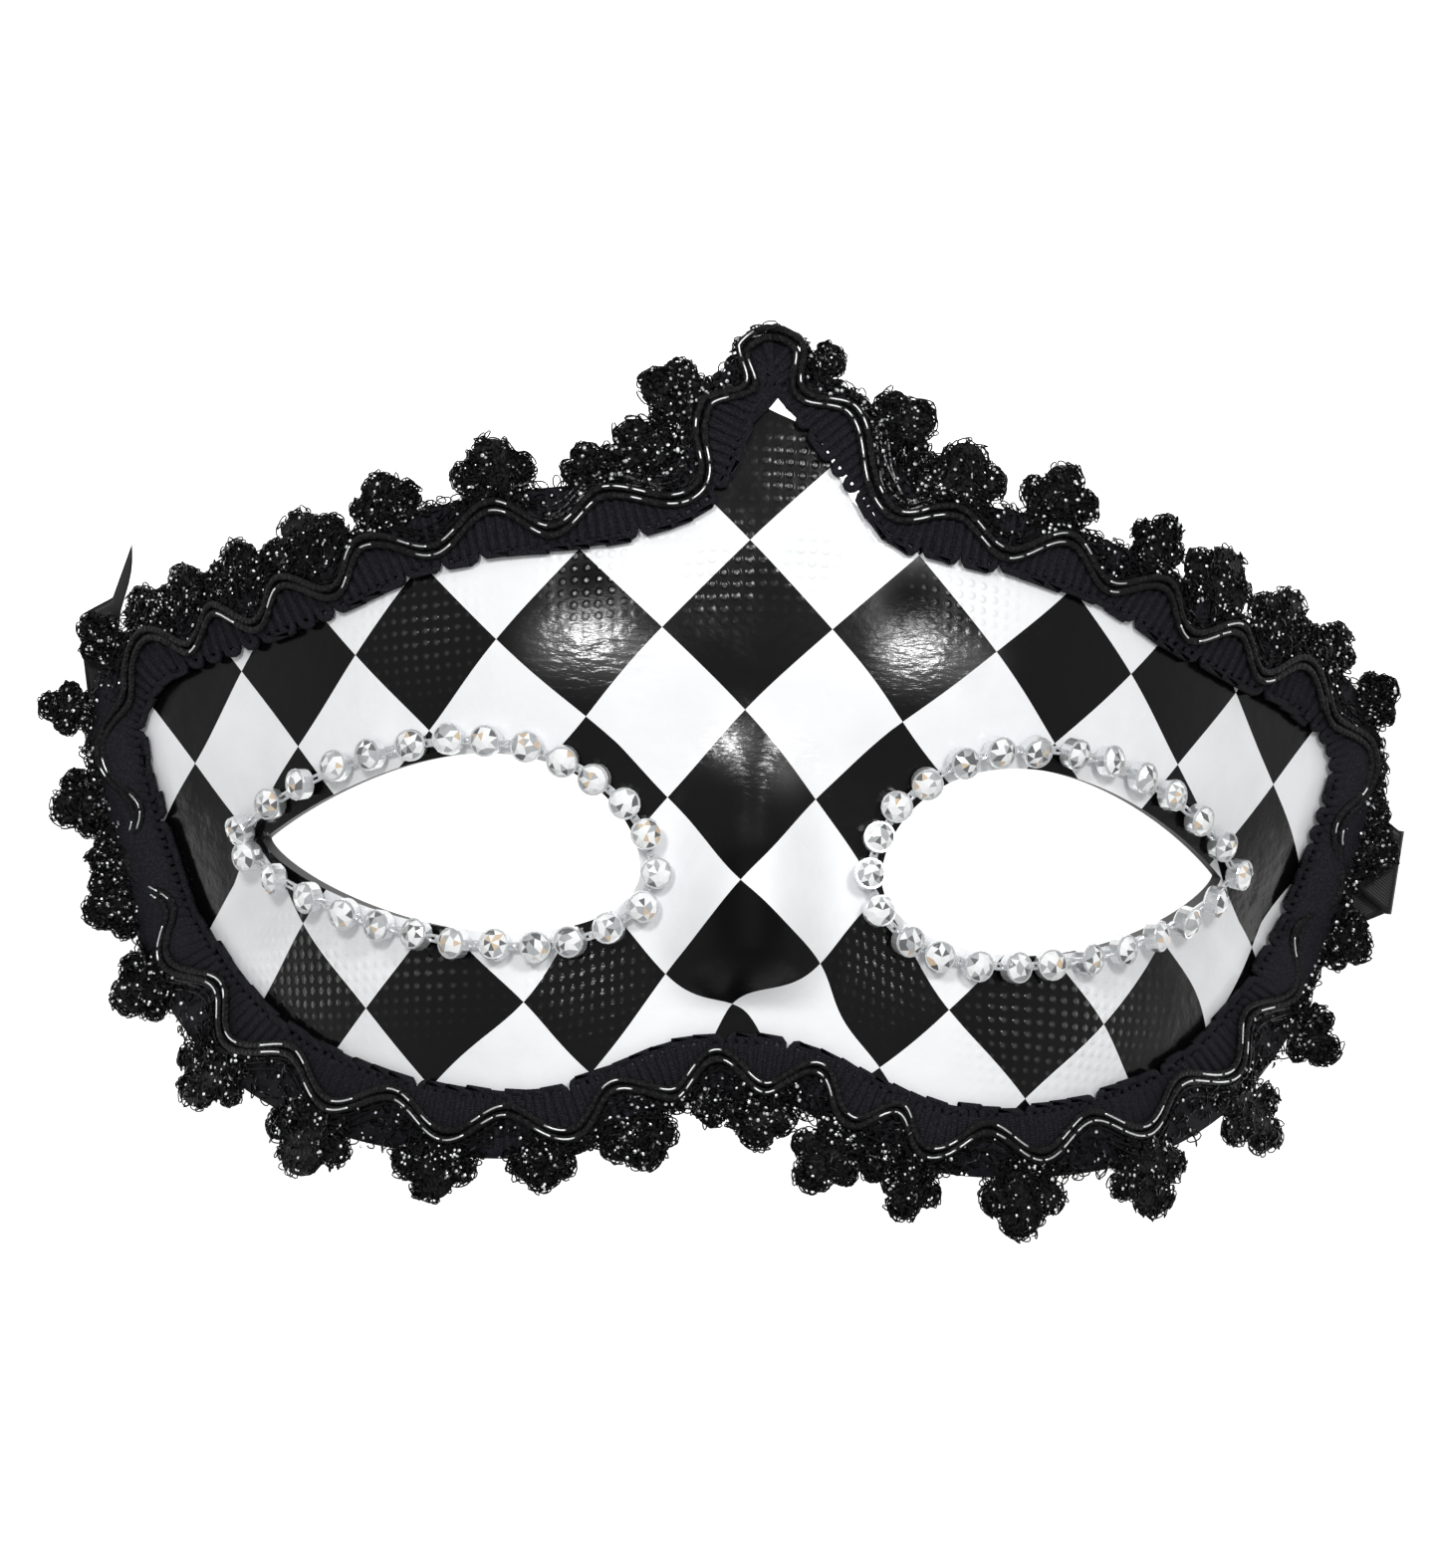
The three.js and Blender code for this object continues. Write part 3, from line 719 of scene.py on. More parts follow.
def studio_card(settings):
    """Matt white card over a light table: evenly bright, with a trace of tooth."""
    card = solid(settings.floor)
    look = {"Base Color": card, "Roughness": 0.9}
    glow = {"Emission Color": card, "Emission Strength": settings.floor_glow}
    return grained_material("studio_card", 3.0, 2.0, look | glow, relief=(0.05, 0.1))


def printed_vinyl(settings):
    """PVC leathercloth, calendered, printed with diamonds and embossed with small round pips: crisp black and
    white under a glossy skin, with a glint on each pip and a crinkled shine where it was stretched."""
    pips_per_unit = settings.diagonal / (math.sqrt(2.0) * settings.pip_pitch)
    return new_material(
        "printed_vinyl",
        PLACE,
        SPOT,
        (
            "diamonds", "TexChecker",
            {"Scale": 1.0, "Color1": solid(settings.ground), "Color2": solid(settings.ink)},
            {"Vector": "place.0"},
        ),
        ("rub", "TexNoise", {"Scale": grain_of(9.0), "Detail": 5.0}, {"Vector": "spot.Object"}),
        (
            "shade", "MapRange",
            {"From Min": 0.3, "From Max": 0.7, "To Min": 0.93, "To Max": 1.0},
            {"Value": "rub.Fac"},
        ),
        (
            "tint", "Mix",
            {"data_type": "RGBA", "blend_type": "MULTIPLY", 0: 1.0},
            {6: "diamonds.Color", 7: "shade.0"},
        ),
        (
            "laid_square", "Mapping",
            {"Rotation": (0.0, 0.0, math.pi / 4.0), "Scale": (pips_per_unit, pips_per_unit, 1.0)},
            {"Vector": "place.0"},
        ),
        (
            "pips", "TexVoronoi",
            {"voronoi_dimensions": "2D", "Scale": 1.0, "Randomness": 0.12},
            {"Vector": "laid_square.0"},
        ),
        (
            "dome", "MapRange",
            {
                "interpolation_type": "SMOOTHSTEP",
                "From Min": 0.12, "From Max": 0.42, "To Min": 1.0, "To Max": 0.0,
            },
            {"Value": "pips.Distance"},
        ),
        ("kept", "Attribute", {"attribute_name": "pips"}),
        ("pressed", "Math", {"operation": "MULTIPLY"}, {0: "dome.0", 1: "kept.Fac"}),
        ("ripple", "TexNoise", {"Scale": grain_of(3.4), "Detail": 3.0}, {"Vector": "spot.Object"}),
        ("rippled", "Bump", {"Strength": 0.6, "Distance": 0.2 * MM}, {"Height": "ripple.Fac"}),
        (
            "embossed", "Bump",
            {"Strength": 1.0, "Distance": settings.pip_height},
            {"Height": "pressed.0", "Normal": "rippled.0"},
        ),
        (
            "tip", "MapRange",
            {"From Min": 0.1, "From Max": 0.26, "To Min": 0.8, "To Max": 0.0},
            {"Value": "pips.Distance"},
        ),
        ("glint", "Math", {"operation": "MULTIPLY"}, {0: "tip.0", 1: "kept.Fac"}),
        ("glaze", "Attribute", {"attribute_name": "glaze"}),
        ("shine", "Math", {"operation": "MAXIMUM"}, {0: "glint.0", 1: "glaze.Fac"}),
        ("drawn", "Mapping", {"Scale": (grain_of(2.6), grain_of(0.9), 0.0)}, {"Vector": "spot.Object"}),
        ("crinkle", "TexNoise", {"Scale": 1.0, "Detail": 3.0}, {"Vector": "drawn.0"}),
        (
            "crinkled", "Bump",
            {"Strength": 0.9, "Distance": 0.26 * MM},
            {"Height": "crinkle.Fac", "Normal": "embossed.0"},
        ),
        (
            "gloss", "MapRange",
            {"From Min": 0.3, "From Max": 0.7, "To Min": 0.14, "To Max": 0.24},
            {"Value": "rub.Fac"},
        ),
        ("worn", "Attribute", {"attribute_name": "dull"}),
        ("rough", "Math", {"operation": "MULTIPLY_ADD", 1: 0.4}, {0: "worn.Fac", 2: "gloss.0"}),
        ("mirror", "MapRange", {"To Min": 0.24, "To Max": 0.06}, {"Value": "worn.Fac"}),
        (
            "vinyl", "BsdfPrincipled",
            {"IOR": 1.5, "Coat IOR": 2.1, "Coat Roughness": 0.26},
            {
                "Base Color": "tint.2", "Roughness": "rough.0", "Specular IOR Level": "mirror.0",
                "Normal": "embossed.0", "Coat Weight": "shine.0", "Coat Normal": "crinkled.0",
            },
        ),
    )


def gimp_cord(settings):
    """Viscose gimp, a soft core wound with fine yarn: charcoal black, dull, with pale fibre ends on top."""
    return new_material(
        "gimp_cord",
        SPOT,
        PLACE,
        ("fibre", "TexNoise", {"Scale": grain_of(0.3), "Detail": 3.0}, {"Vector": "spot.Object"}),
        ("lie", "MapRange", {"From Min": 0.42, "From Max": 0.75}, {"Value": "fibre.Fac"}),
        (
            "tone", "Mix",
            {"data_type": "RGBA", 6: solid(settings.yarn), 7: solid(settings.yarn, 3.0)},
            {0: "lie.0"},
        ),
        (
            "winding", "TexWave",
            {
                "wave_type": "BANDS", "bands_direction": "X",
                "Scale": bands_of(0.35), "Distortion": 1.5, "Detail": 1.0,
            },
            {"Vector": "place.0"},
        ),
        ("wound", "Bump", {"Strength": 0.6, "Distance": 0.12 * MM}, {"Height": "winding.Fac"}),
        (
            "fuzzed", "Bump",
            {"Strength": 0.6, "Distance": 0.15 * MM},
            {"Height": "fibre.Fac", "Normal": "wound.0"},
        ),
        (
            "yarn", "BsdfPrincipled",
            {"Roughness": 0.85, "Specular IOR Level": 0.2, "IOR": 1.46},
            {"Base Color": "tone.2", "Normal": "fuzzed.0"},
        ),
    )


def lace_ground(settings):
    """The knitted ground under the loops: dull black nylon, too fine to show as separate stitches."""
    return new_material(
        "lace_ground",
        SPOT,
        ("stitch", "TexVoronoi", {"Scale": grain_of(0.55)}, {"Vector": "spot.Object"}),
        ("knit", "Bump", {"Strength": 1.0, "Distance": 0.3 * MM}, {"Height": "stitch.Distance"}),
        (
            "tone", "Mix",
            {"data_type": "RGBA", 6: solid(settings.film, 2.0), 7: solid(settings.film)},
            {0: "stitch.Distance"},
        ),
        (
            "nylon", "BsdfPrincipled",
            {"Roughness": 0.6, "IOR": 1.53, "Specular IOR Level": 0.2},
            {"Base Color": "tone.2", "Normal": "knit.0"},
        ),
    )


def satin_ribbon(settings):
    """Polyester satin, woven with long floats along the ribbon: black, with its soft lengthwise sheen painted
    in as lighter floats. The floats are drawn about twice as wide as real ones, so that they show."""
    return new_material(
        "satin_ribbon",
        PLACE,
        (
            "floats", "TexWave",
            {
                "wave_type": "BANDS", "bands_direction": "Y",
                "Scale": bands_of(0.35), "Distortion": 0.6, "Detail": 2.0,
            },
            {"Vector": "place.0"},
        ),
        # The floats are painted lighter than the satin: a painted sheen.
        (
            "tone", "Mix",
            {"data_type": "RGBA", 6: solid(settings.satin), 7: solid(settings.satin, 1.6)},
            {0: "floats.Fac"},
        ),
        ("woven", "Bump", {"Strength": 0.35, "Distance": 0.05 * MM}, {"Height": "floats.Fac"}),
        (
            "satin", "BsdfPrincipled",
            {"Roughness": 0.42, "Specular IOR Level": 0.3, "IOR": 1.5},
            {"Base Color": "tone.2", "Normal": "woven.0"},
        ),
    )


# Shell

ROUND_EYE = {"bridge": 54, "brow": 126, "cheek": 130, "nose": 50}
KEY_TURNS = SimpleNamespace(peak=0.30, temple=1.0, notch=1.70)
BRIDGE_Y = 4.0
OUT_ROWS = 48
SHELL_CREASE = math.radians(50.0)
PRINT_STEP = 0.5
PRINT_SPAN = (-95.0, 95.0, -50.0, 75.0)
PRINT_LOW = -8.0
SAG = SimpleNamespace(droop=0.0133, power=1.5, tilt=0.015, cheek=2.8)
PINCH = SimpleNamespace(across=2.0, over_x=18.0, y=13.0, spread=8.0)
PULLS = (
    PullRow(9.8, -15.0, 7.0, -3.4, -1.1),
    PullRow(-10.6, -17.2, 7.0, 1.4, 0.5),
    PullRow(-29.0, -21.7, 9.0, -2.0, 0.7),
    PullRow(27.0, -20.7, 9.0, 0.9, 0.8),
    PullRow(48.5, -21.8, 9.0, -1.9, 0.0),
    PullRow(18.4, -28.4, 8.0, -1.4, -1.2),
    PullRow(-58.4, -12.6, 9.0, 1.9, 0.0),
    PullRow(-73.7, 8.1, 8.0, -1.0, 0.4),
    PullRow(-1.4, -4.3, 8.0, 0.0, 1.1),
    PullRow(42.0, 35.7, 12.0, 0.0, 1.5),
    PullRow(56.0, -13.0, 9.0, -2.0, 0.0),
    PullRow(67.0, -14.0, 8.0, -4.6, -1.0),
    PullRow(63.0, -22.0, 7.0, -2.6, 0.0),
)
PIPS = (
    SpotRow(-22.0, 35.0, 5.0),
    SpotRow(29.0, 34.0, 5.0),
    SpotRow(-6.0, 37.0, 5.0),
    SpotRow(7.0, 38.0, 4.0),
    SpotRow(5.0, 50.0, 4.0),
    SpotRow(-44.0, 27.0, 6.0),
    SpotRow(-56.0, -18.0, 7.0),
    SpotRow(-42.0, -18.0, 5.0),
    SpotRow(-22.0, -16.0, 6.0),
    SpotRow(45.0, -20.0, 8.0),
    SpotRow(37.0, -22.5, 6.0),
    SpotRow(19.0, -14.0, 5.0),
)
GLAZE = (
    SpotRow(-27.0, 25.6, 3.6),
    SpotRow(-21.5, 25.6, 3.8),
    SpotRow(-16.8, 24.6, 3.2),
    SpotRow(18.6, 25.4, 3.2),
    SpotRow(23.4, 25.8, 3.8),
    SpotRow(28.4, 25.4, 3.4),
    SpotRow(-3.2, 13.5, 3.0),
    SpotRow(4.2, 10.5, 3.0),
)
DULL = (
    SpotRow(0.0, -11.0, 8.0),
    SpotRow(0.0, -3.0, 6.0),
    SpotRow(20.5, 33.0, 5.0),
    SpotRow(-22.5, 34.5, 4.5),
)
LAYERS = {"pips": PIPS, "glaze": GLAZE, "dull": DULL}
SAG_CHEEK = SimpleNamespace(from_y=8.0, over_y=28.0, from_x=6.0, over_x=20.0)


def unrolled(x, y, centre):
    """Place on the flat print: the length over the face from the print's centre, sideways and upwards, found
    by adding up small steps on a fine grid and reading between its lines, then moved by the rows' sag and by
    a bell-shaped drag at each pull."""
    left, right, low, high = PRINT_SPAN
    xs = np.arange(left, right + PRINT_STEP, PRINT_STEP)
    ys = np.arange(low, high + PRINT_STEP, PRINT_STEP)
    heights = face_height(*np.meshgrid(xs, ys))
    steps_x = np.hypot(PRINT_STEP, np.diff(heights, axis=1))
    steps_y = np.hypot(PRINT_STEP, np.diff(heights, axis=0))
    over_x = np.pad(np.cumsum(steps_x, axis=1), ((0, 0), (1, 0)))
    over_y = np.pad(np.cumsum(steps_y, axis=0), ((1, 0), (0, 0)))

    def read(table, px, py):
        column = (px - left) / PRINT_STEP
        row = (py - low) / PRINT_STEP
        i, j = np.floor(column).astype(int), np.floor(row).astype(int)
        u, v = column - i, row - j
        bottom = table[j, i] * (1.0 - u) + table[j, i + 1] * u
        top = table[j + 1, i] * (1.0 - u) + table[j + 1, i + 1] * u
        return bottom * (1.0 - v) + top * v

    row = np.maximum(y, PRINT_LOW)
    across = read(over_x, x, row) - read(over_x, np.full_like(x, centre[0]), row)
    upward = read(over_y, x, y) - read(over_y, x, np.full_like(y, centre[1]))
    near = bell((y - PINCH.y) / PINCH.spread)
    across = across + PINCH.across * np.clip(x / PINCH.over_x, -1.0, 1.0) * near
    upward = upward + print_sag(x, y)
    for pull in PULLS:
        near = bell(np.hypot(x - pull.x, y - pull.y) / pull.spread)
        across = across + pull.across * near
        upward = upward + pull.upward * near
    return across, upward


def print_sag(x, y):
    """How far the print's rows hang: a power of the distance from the middle, less a small tilt, plus a drop
    over the cheeks."""
    side = np.abs(x)
    cheek = ease((SAG_CHEEK.from_y - y) / SAG_CHEEK.over_y)
    cheek = cheek * ease((side - SAG_CHEEK.from_x) / SAG_CHEEK.over_x)
    return SAG.droop * side ** SAG.power - SAG.tilt * x + SAG.cheek * cheek


def spot_share(spots, x, y):
    """How strongly a thing shows, from none to full: a sum of bells round the places in its table."""
    total = sum(bell(np.hypot(x - row.x, y - row.y) / row.spread) for row in spots)
    return np.clip(total, 0.0, 1.0)


def shell_half(eye):
    """One half of the shell on a grid: straight rows from the eye hole out to a loop that runs up the middle
    line to the peak, round the edge to the notch, and back up the middle line."""
    n = ROUND_EYE
    edge = lengths(HALF_EDGE)
    temple = edge[TEMPLE_ROW * (len(HALF_EDGE) - 1) // (len(EDGE) - 1)]

    def run(start, stop, count):
        return np.linspace(start, stop, count, endpoint=False)

    middle_up = run(BRIDGE_Y, EDGE[0].y, n["bridge"])
    middle_back = run(EDGE[-1].y, BRIDGE_Y, n["nose"])
    at = np.concatenate([run(0.0, temple, n["brow"]), run(temple, edge[-1], n["cheek"])])
    rim = np.vstack(
        [
            np.stack([np.zeros_like(middle_up), middle_up], axis=-1),
            along(HALF_EDGE, at),
            np.stack([np.zeros_like(middle_back), middle_back], axis=-1),
        ]
    ) * np.array([eye.sign, 1.0])
    turn = math.pi * np.concatenate(
        [
            run(0.0, KEY_TURNS.peak, n["bridge"]),
            run(KEY_TURNS.peak, KEY_TURNS.temple, n["brow"]),
            run(KEY_TURNS.temple, KEY_TURNS.notch, n["cheek"]),
            run(KEY_TURNS.notch, 2.0, n["nose"]),
        ]
    )
    cut = eye._replace(
        outer_x=eye.outer_x + eye.corner_x, outer_y=eye.outer_y + eye.corner_y, rise=eye.rise + eye.lift
    )
    hole = eye_outline(cut, HOLE_LIDS, turn)
    share = np.linspace(0.0, 1.0, OUT_ROWS + 1)[None, :, None]
    return hole[:, None] * (1.0 - share) + rim[:, None] * share


def build_shell(settings):
    """The shell: an outer and an inner layer a wall apart, joined round the eye holes and the edge."""
    stock = Stock()
    diagonal = settings.diagonal / MM
    around = sum(ROUND_EYE.values())
    columns = OUT_ROWS + 1
    layer = grid_faces(around, columns, wrap_rows=True)
    index = np.arange(around * columns).reshape(around, columns)
    first, last = ROUND_EYE["bridge"], around - ROUND_EYE["nose"]
    holes = np.append(np.arange(around), 0)
    edges = np.arange(first, last + 1)
    rims = [index[holes, 0], index[edges, -1]]
    for eye in EYES:
        flat = shell_half(eye)
        x, y = flat[..., 0], flat[..., 1]
        across, upward = unrolled(x, y, (settings.print_x / MM, settings.print_y / MM))
        pattern = np.stack([across + upward, upward - across], axis=-1) / diagonal
        outer = above(face_height, x, y, np.zeros_like(x))
        inner = above(face_height, x, y, np.full_like(x, -WALL))
        start = around * columns
        stock.add(np.stack([outer, inner]), [layer], 0, np.stack([pattern, pattern]))
        backing = [layer[:, ::-1] + start]
        for ring in rims:
            backing.append(np.stack([ring[:-1], ring[1:], ring[1:] + start, ring[:-1] + start], axis=-1))
        stock.faces.extend((part + stock.count - 2 * start, 1) for part in backing)
    materials = [printed_vinyl(settings), moulded_backing(settings)]
    shell = stock.make("facing", materials, merge=True, sharp=SHELL_CREASE)
    spots = np.empty(3 * len(shell.data.vertices))
    shell.data.vertices.foreach_get("co", spots)
    x, y = from_frame(spots.reshape(-1, 3))[:, :2].T
    for name, table in LAYERS.items():
        strength = shell.data.attributes.new(name, "FLOAT", "POINT")
        strength.data.foreach_set("value", spot_share(table, x, y))
    dress(shell, "facing", "shell")


# Stones

GEM = SimpleNamespace(sides=8, crown=1.15, girdle=1.95, peak=3.15, top=2.8, belt=2.05, back=0.6)
# Shares of the facets painted as highlight, half-light, shade and warm reflection.
PAINTED_FACET_LIGHT_SHARES = (0.55, 0.27, 0.13, 0.05)
CUP_SIDES = 18
CUP_PROFILE = (
    RingRow(0.4, 0.0),
    RingRow(1.7, 0.0),
    RingRow(2.05, 0.35),
    RingRow(2.15, 1.95),
    RingRow(2.08, 2.15),
    RingRow(1.84, 2.15),
    RingRow(1.8, 1.4),
    RingRow(0.4, 0.4),
)
ROD = SimpleNamespace(offset=0.36, radius=0.22, lift=1.15, sides=6)
BEAD = SimpleNamespace(radius=0.5, around=8, rows=5, cap=0.12)
STONE_CREASE = math.radians(12.0)
STONE_SEED = 11


def string_route(eye):
    """The line the stones stand on: the eye's outline, let out all round."""
    wider = eye._replace(
        inner_x=eye.inner_x - STRING.inner,
        outer_x=eye.outer_x + STRING.outer,
        rise=eye.rise + STRING.rise,
        fall=eye.fall + STRING.fall,
    )
    return eye_outline(wider, LIDS, np.linspace(0.0, TURN, STRING.steps + 1))


def lathe(profile, sides):
    """A profile of radius and height turned about the upright axis: radius times cosine and sine."""
    turn = np.arange(sides) * TURN / sides
    rows = np.array(profile)
    ring = np.stack([np.cos(turn), np.sin(turn)], axis=-1)
    flat = rows[:, None, :1] * ring
    return np.concatenate([flat, np.broadcast_to(rows[:, None, 1:], (*flat.shape[:2], 1))], axis=-1)


def gem_shape():
    """A cut stone: a low star of triangles from its peak to a ring of eight corners, and a crown of triangles
    from there to a belt half a step round. Gives points and faces."""
    n = GEM.sides
    turn = np.arange(n) * TURN / n
    half = math.pi / n

    def ring(radius, height, shift):
        flat = radius * np.stack([np.cos(turn + shift), np.sin(turn + shift)], axis=-1)
        return np.hstack([flat, np.full((n, 1), height)])

    upper, belt = ring(GEM.crown, GEM.top, 0.0), ring(GEM.girdle, GEM.belt, half)
    i = np.arange(n)
    j = (i + 1) % n
    star = np.stack([i, j, np.full(n, 2 * n)], axis=-1)
    crown = np.vstack([np.stack([i, n + i, j], axis=-1), np.stack([j, n + i, n + j], axis=-1)])
    back = np.stack([n + j, n + i, np.full(n, 2 * n + 1)], axis=-1)
    ends = [[0.0, 0.0, GEM.peak], [0.0, 0.0, GEM.belt - GEM.back]]
    return np.vstack([upper, belt, ends]), np.vstack([star, crown, back])


def build_stones(eye, settings, materials):
    """A string of stones: each cup and gem turned to stand on the face with a small lean of its own, its
    facets painted at random with a tone of painted highlight, half-light, shade or warm reflection, and two
    rods with a bead between neighbours."""
    rng = np.random.default_rng(STONE_SEED + eye.sign)
    count = eye.stones
    route = string_route(eye)
    at = np.arange(count) / count * lengths(route)[-1]
    place = along(route, at)
    x, y = place[:, 0], place[:, 1]
    seat = above(face_height, x, y, np.full(count, STONE_LIFT))
    up = up_from(face_height, x, y)
    onward = np.roll(seat, -1, axis=0) - seat
    side = unit(np.cross(up, onward))
    ahead = np.cross(side, up)
    lean = rng.normal(0.0, math.tan(settings.lean), (count, 2))
    tipped = unit(up + lean[:, :1] * side + lean[:, 1:] * ahead)
    spin = rng.uniform(0.0, TURN, count)[:, None]
    axis_x = unit(np.cross(tipped, np.cos(spin) * side + np.sin(spin) * ahead))
    axes = np.stack([axis_x, np.cross(tipped, axis_x), tipped], axis=1)

    def placed(shape):
        return np.einsum("vk,nkd->nvd", shape.reshape(-1, 3), axes) + seat[:, None]

    stock = Stock()
    cup = lathe(CUP_PROFILE, CUP_SIDES)
    stock.add(placed(cup), stacked(len(CUP_PROFILE), CUP_SIDES, count, closed=True), 0)
    gem, facets = gem_shape()
    facets = copied(facets, count, len(gem))
    # Each facet is painted one tone of light: highlight, half-light, shade or warm reflection.
    tone = 1 + rng.choice(len(PAINTED_FACET_LIGHT_SHARES), len(facets), p=PAINTED_FACET_LIGHT_SHARES)
    begin = stock.count
    stock.add(placed(gem), [facets[tone == 1]], 1)
    stock.faces.extend((facets[tone == k] + begin, k) for k in range(2, len(PAINTED_FACET_LIGHT_SHARES) + 1))
    low = seat + up * (ROD.lift - STONE_LIFT)
    ends = np.stack([low, np.roll(low, -1, axis=0)], axis=1)
    for offset in (-ROD.offset, ROD.offset):
        paths = ends + (side * offset)[:, None]
        stock.add_tubes(paths, up[:, None], ROD.radius, ROD.radius, ROD.sides, False, 0)
    rows = np.linspace(BEAD.cap, math.pi - BEAD.cap, BEAD.rows)
    ball = lathe(np.stack([np.sin(rows), -np.cos(rows)], axis=-1) * BEAD.radius, BEAD.around)
    beads = ball.reshape(-1, 3)[None] + ends.mean(axis=1)[:, None]
    stock.add(beads, stacked(BEAD.rows, BEAD.around, count), 0)
    string = stock.make(f"stone_string_{eye.side}", materials, sharp=STONE_CREASE)
    dress(string, "stones", f"stones_{eye.side}")


# Braid

GIMP = SimpleNamespace(
    steps=24, flatness=0.35, bulge=0.32, sides=6,
    lift=0.55, arch=0.3, uneven=0.12, bounce=0.6,
)
GIMP_SEED = 23
BED_AT_PEAK = {"top_left": -1.6, "top_right": -0.3}
BED = SimpleNamespace(inside=1.5, outside=0.6, low=0.05, high=0.98, step=1.0, lap=2.0)
CORD = SimpleNamespace(step=0.55, apart=0.62, half_width=0.5, half_height=0.42, lift=1.75, sides=8)
# Painted highlights along the cords: dashes of bright film.
DASH = SimpleNamespace(short=0.9, long=2.4, nick=0.4, gap=7.0, least=0.2, paired=0.45, corner=60.0)
DASH_BODY = SimpleNamespace(half_width=0.15, half_height=0.06, steps=6, sides=4)
STRIP_REACH = SimpleNamespace(drawn=1.4, least=0.4, most=2.4, at=153.0, spread=28.0)
FILM_RUNS = SimpleNamespace(count=4, first=1.35, pitch=0.6, radius=0.15, lift=1.35, step=0.8, sides=4)
FILM_WANDER = SimpleNamespace(swing=0.35, over=2.3, shift=2.0, edge=0.25)
STRIP_LOOP = SimpleNamespace(low=0.8, high=1.6, short=0.5, long=1.15, narrow=0.5, lean=0.4, turn=0.45)
# Strip glints are painted highlights: beads of bright film over the loops.
STRIP_GLINT = SimpleNamespace(low=1.65, high=1.9)
STRIP_START = 1.1


def full_width(at):
    """Share of the band's full width: none at the peak, all a short way down either side."""
    at = np.mod(at, BRAID_LENGTH)
    return ease(np.minimum(at, BRAID_LENGTH - at) / GATHER.over)


def gathered(at):
    """Inner and outer edge of the band: drawn in at the peak and eased out to its full width."""
    full = full_width(at)
    inner = GATHER.inner + (BAND.inner - GATHER.inner) * full
    outer = GATHER.outer + (BAND.outer - GATHER.outer) * full
    return inner, outer


def strip_reach(at):
    """How far the lace between the fans stands past the band: a bell round the middle of each lower side."""
    at = np.mod(at, BRAID_LENGTH)
    side = (np.minimum(at, BRAID_LENGTH - at) - STRIP_REACH.at) / STRIP_REACH.spread
    reach = STRIP_REACH.least + STRIP_REACH.most * bell(side)
    return reach - STRIP_REACH.drawn * (1.0 - full_width(at))


def gimp_path(start, stop, settings):
    """The gimp's winding way: across the band on a cosine and along it by the matching angle of a flattened
    cosine, with a swing of the double angle that rounds each turn into a picot."""
    rng = np.random.default_rng(GIMP_SEED)
    turns = int(round((stop - start) / (settings.picot / MM)))
    pitch = (stop - start) / turns
    psi = np.linspace(0.0, TURN * turns, turns * GIMP.steps + 1)
    swing = np.cos(psi)
    flat = np.arccos(np.clip(np.sign(swing) * np.abs(swing) ** (1.0 / GIMP.flatness), -1.0, 1.0))
    phase = np.mod(psi, TURN)
    angle = TURN * np.floor(psi / TURN + 1e-9) + np.where(phase <= math.pi, flat, TURN - flat)
    at = start + pitch * angle / TURN + GIMP.bulge * np.sin(2.0 * angle)
    at = np.clip(at, start, stop)
    bends = np.arange(2 * turns + 1)
    uneven = np.interp(psi, bends * math.pi, rng.normal(0.0, GIMP.uneven, len(bends)))
    radius = settings.gimp / MM / 2.0
    inner, outer = gathered(at)
    inner, outer = inner + radius, outer - radius
    out = (inner + outer) / 2.0 - (outer - inner) / 2.0 * swing + uneven
    height = GIMP.lift + GIMP.arch * (1.0 - swing ** 2) + GIMP.bounce * uneven
    return on_braid(at, out, height)


def wave_out(name, at):
    """Where the wavy cords run across the band: a cosine whose turns are counted from crest to crest."""
    crests = np.array(CRESTS[name])
    places = np.where(crests < 0.0, crests + BRAID_LENGTH, crests)
    turns = np.interp(at, places, np.arange(len(places)))
    inner, outer = gathered(at)
    out = WAVE.middle + WAVE.swing * np.cos(TURN * turns)
    return np.clip(out, inner + WAVE.edge, outer - WAVE.edge)


def dash_spans(start, stop, rng):
    """Places of the painted highlight dashes on one cord: lengths drawn at random, apart by a nick or by a
    longer gap, and left out near both corners of the mask."""
    count = int((stop - start) / DASH.short)
    long = rng.uniform(DASH.short, DASH.long, count)
    paired = rng.uniform(size=count) < DASH.paired
    gap = np.where(paired, DASH.nick, rng.uniform(DASH.least, 1.0, count) * DASH.gap)
    begin = start + np.cumsum(long + gap) - long
    corner = np.abs(np.minimum(begin, BRAID_LENGTH - begin) - CORNER_AT) / DASH.corner
    kept = (begin + long < stop) & (rng.uniform(size=count) < corner)
    return begin[kept], long[kept]


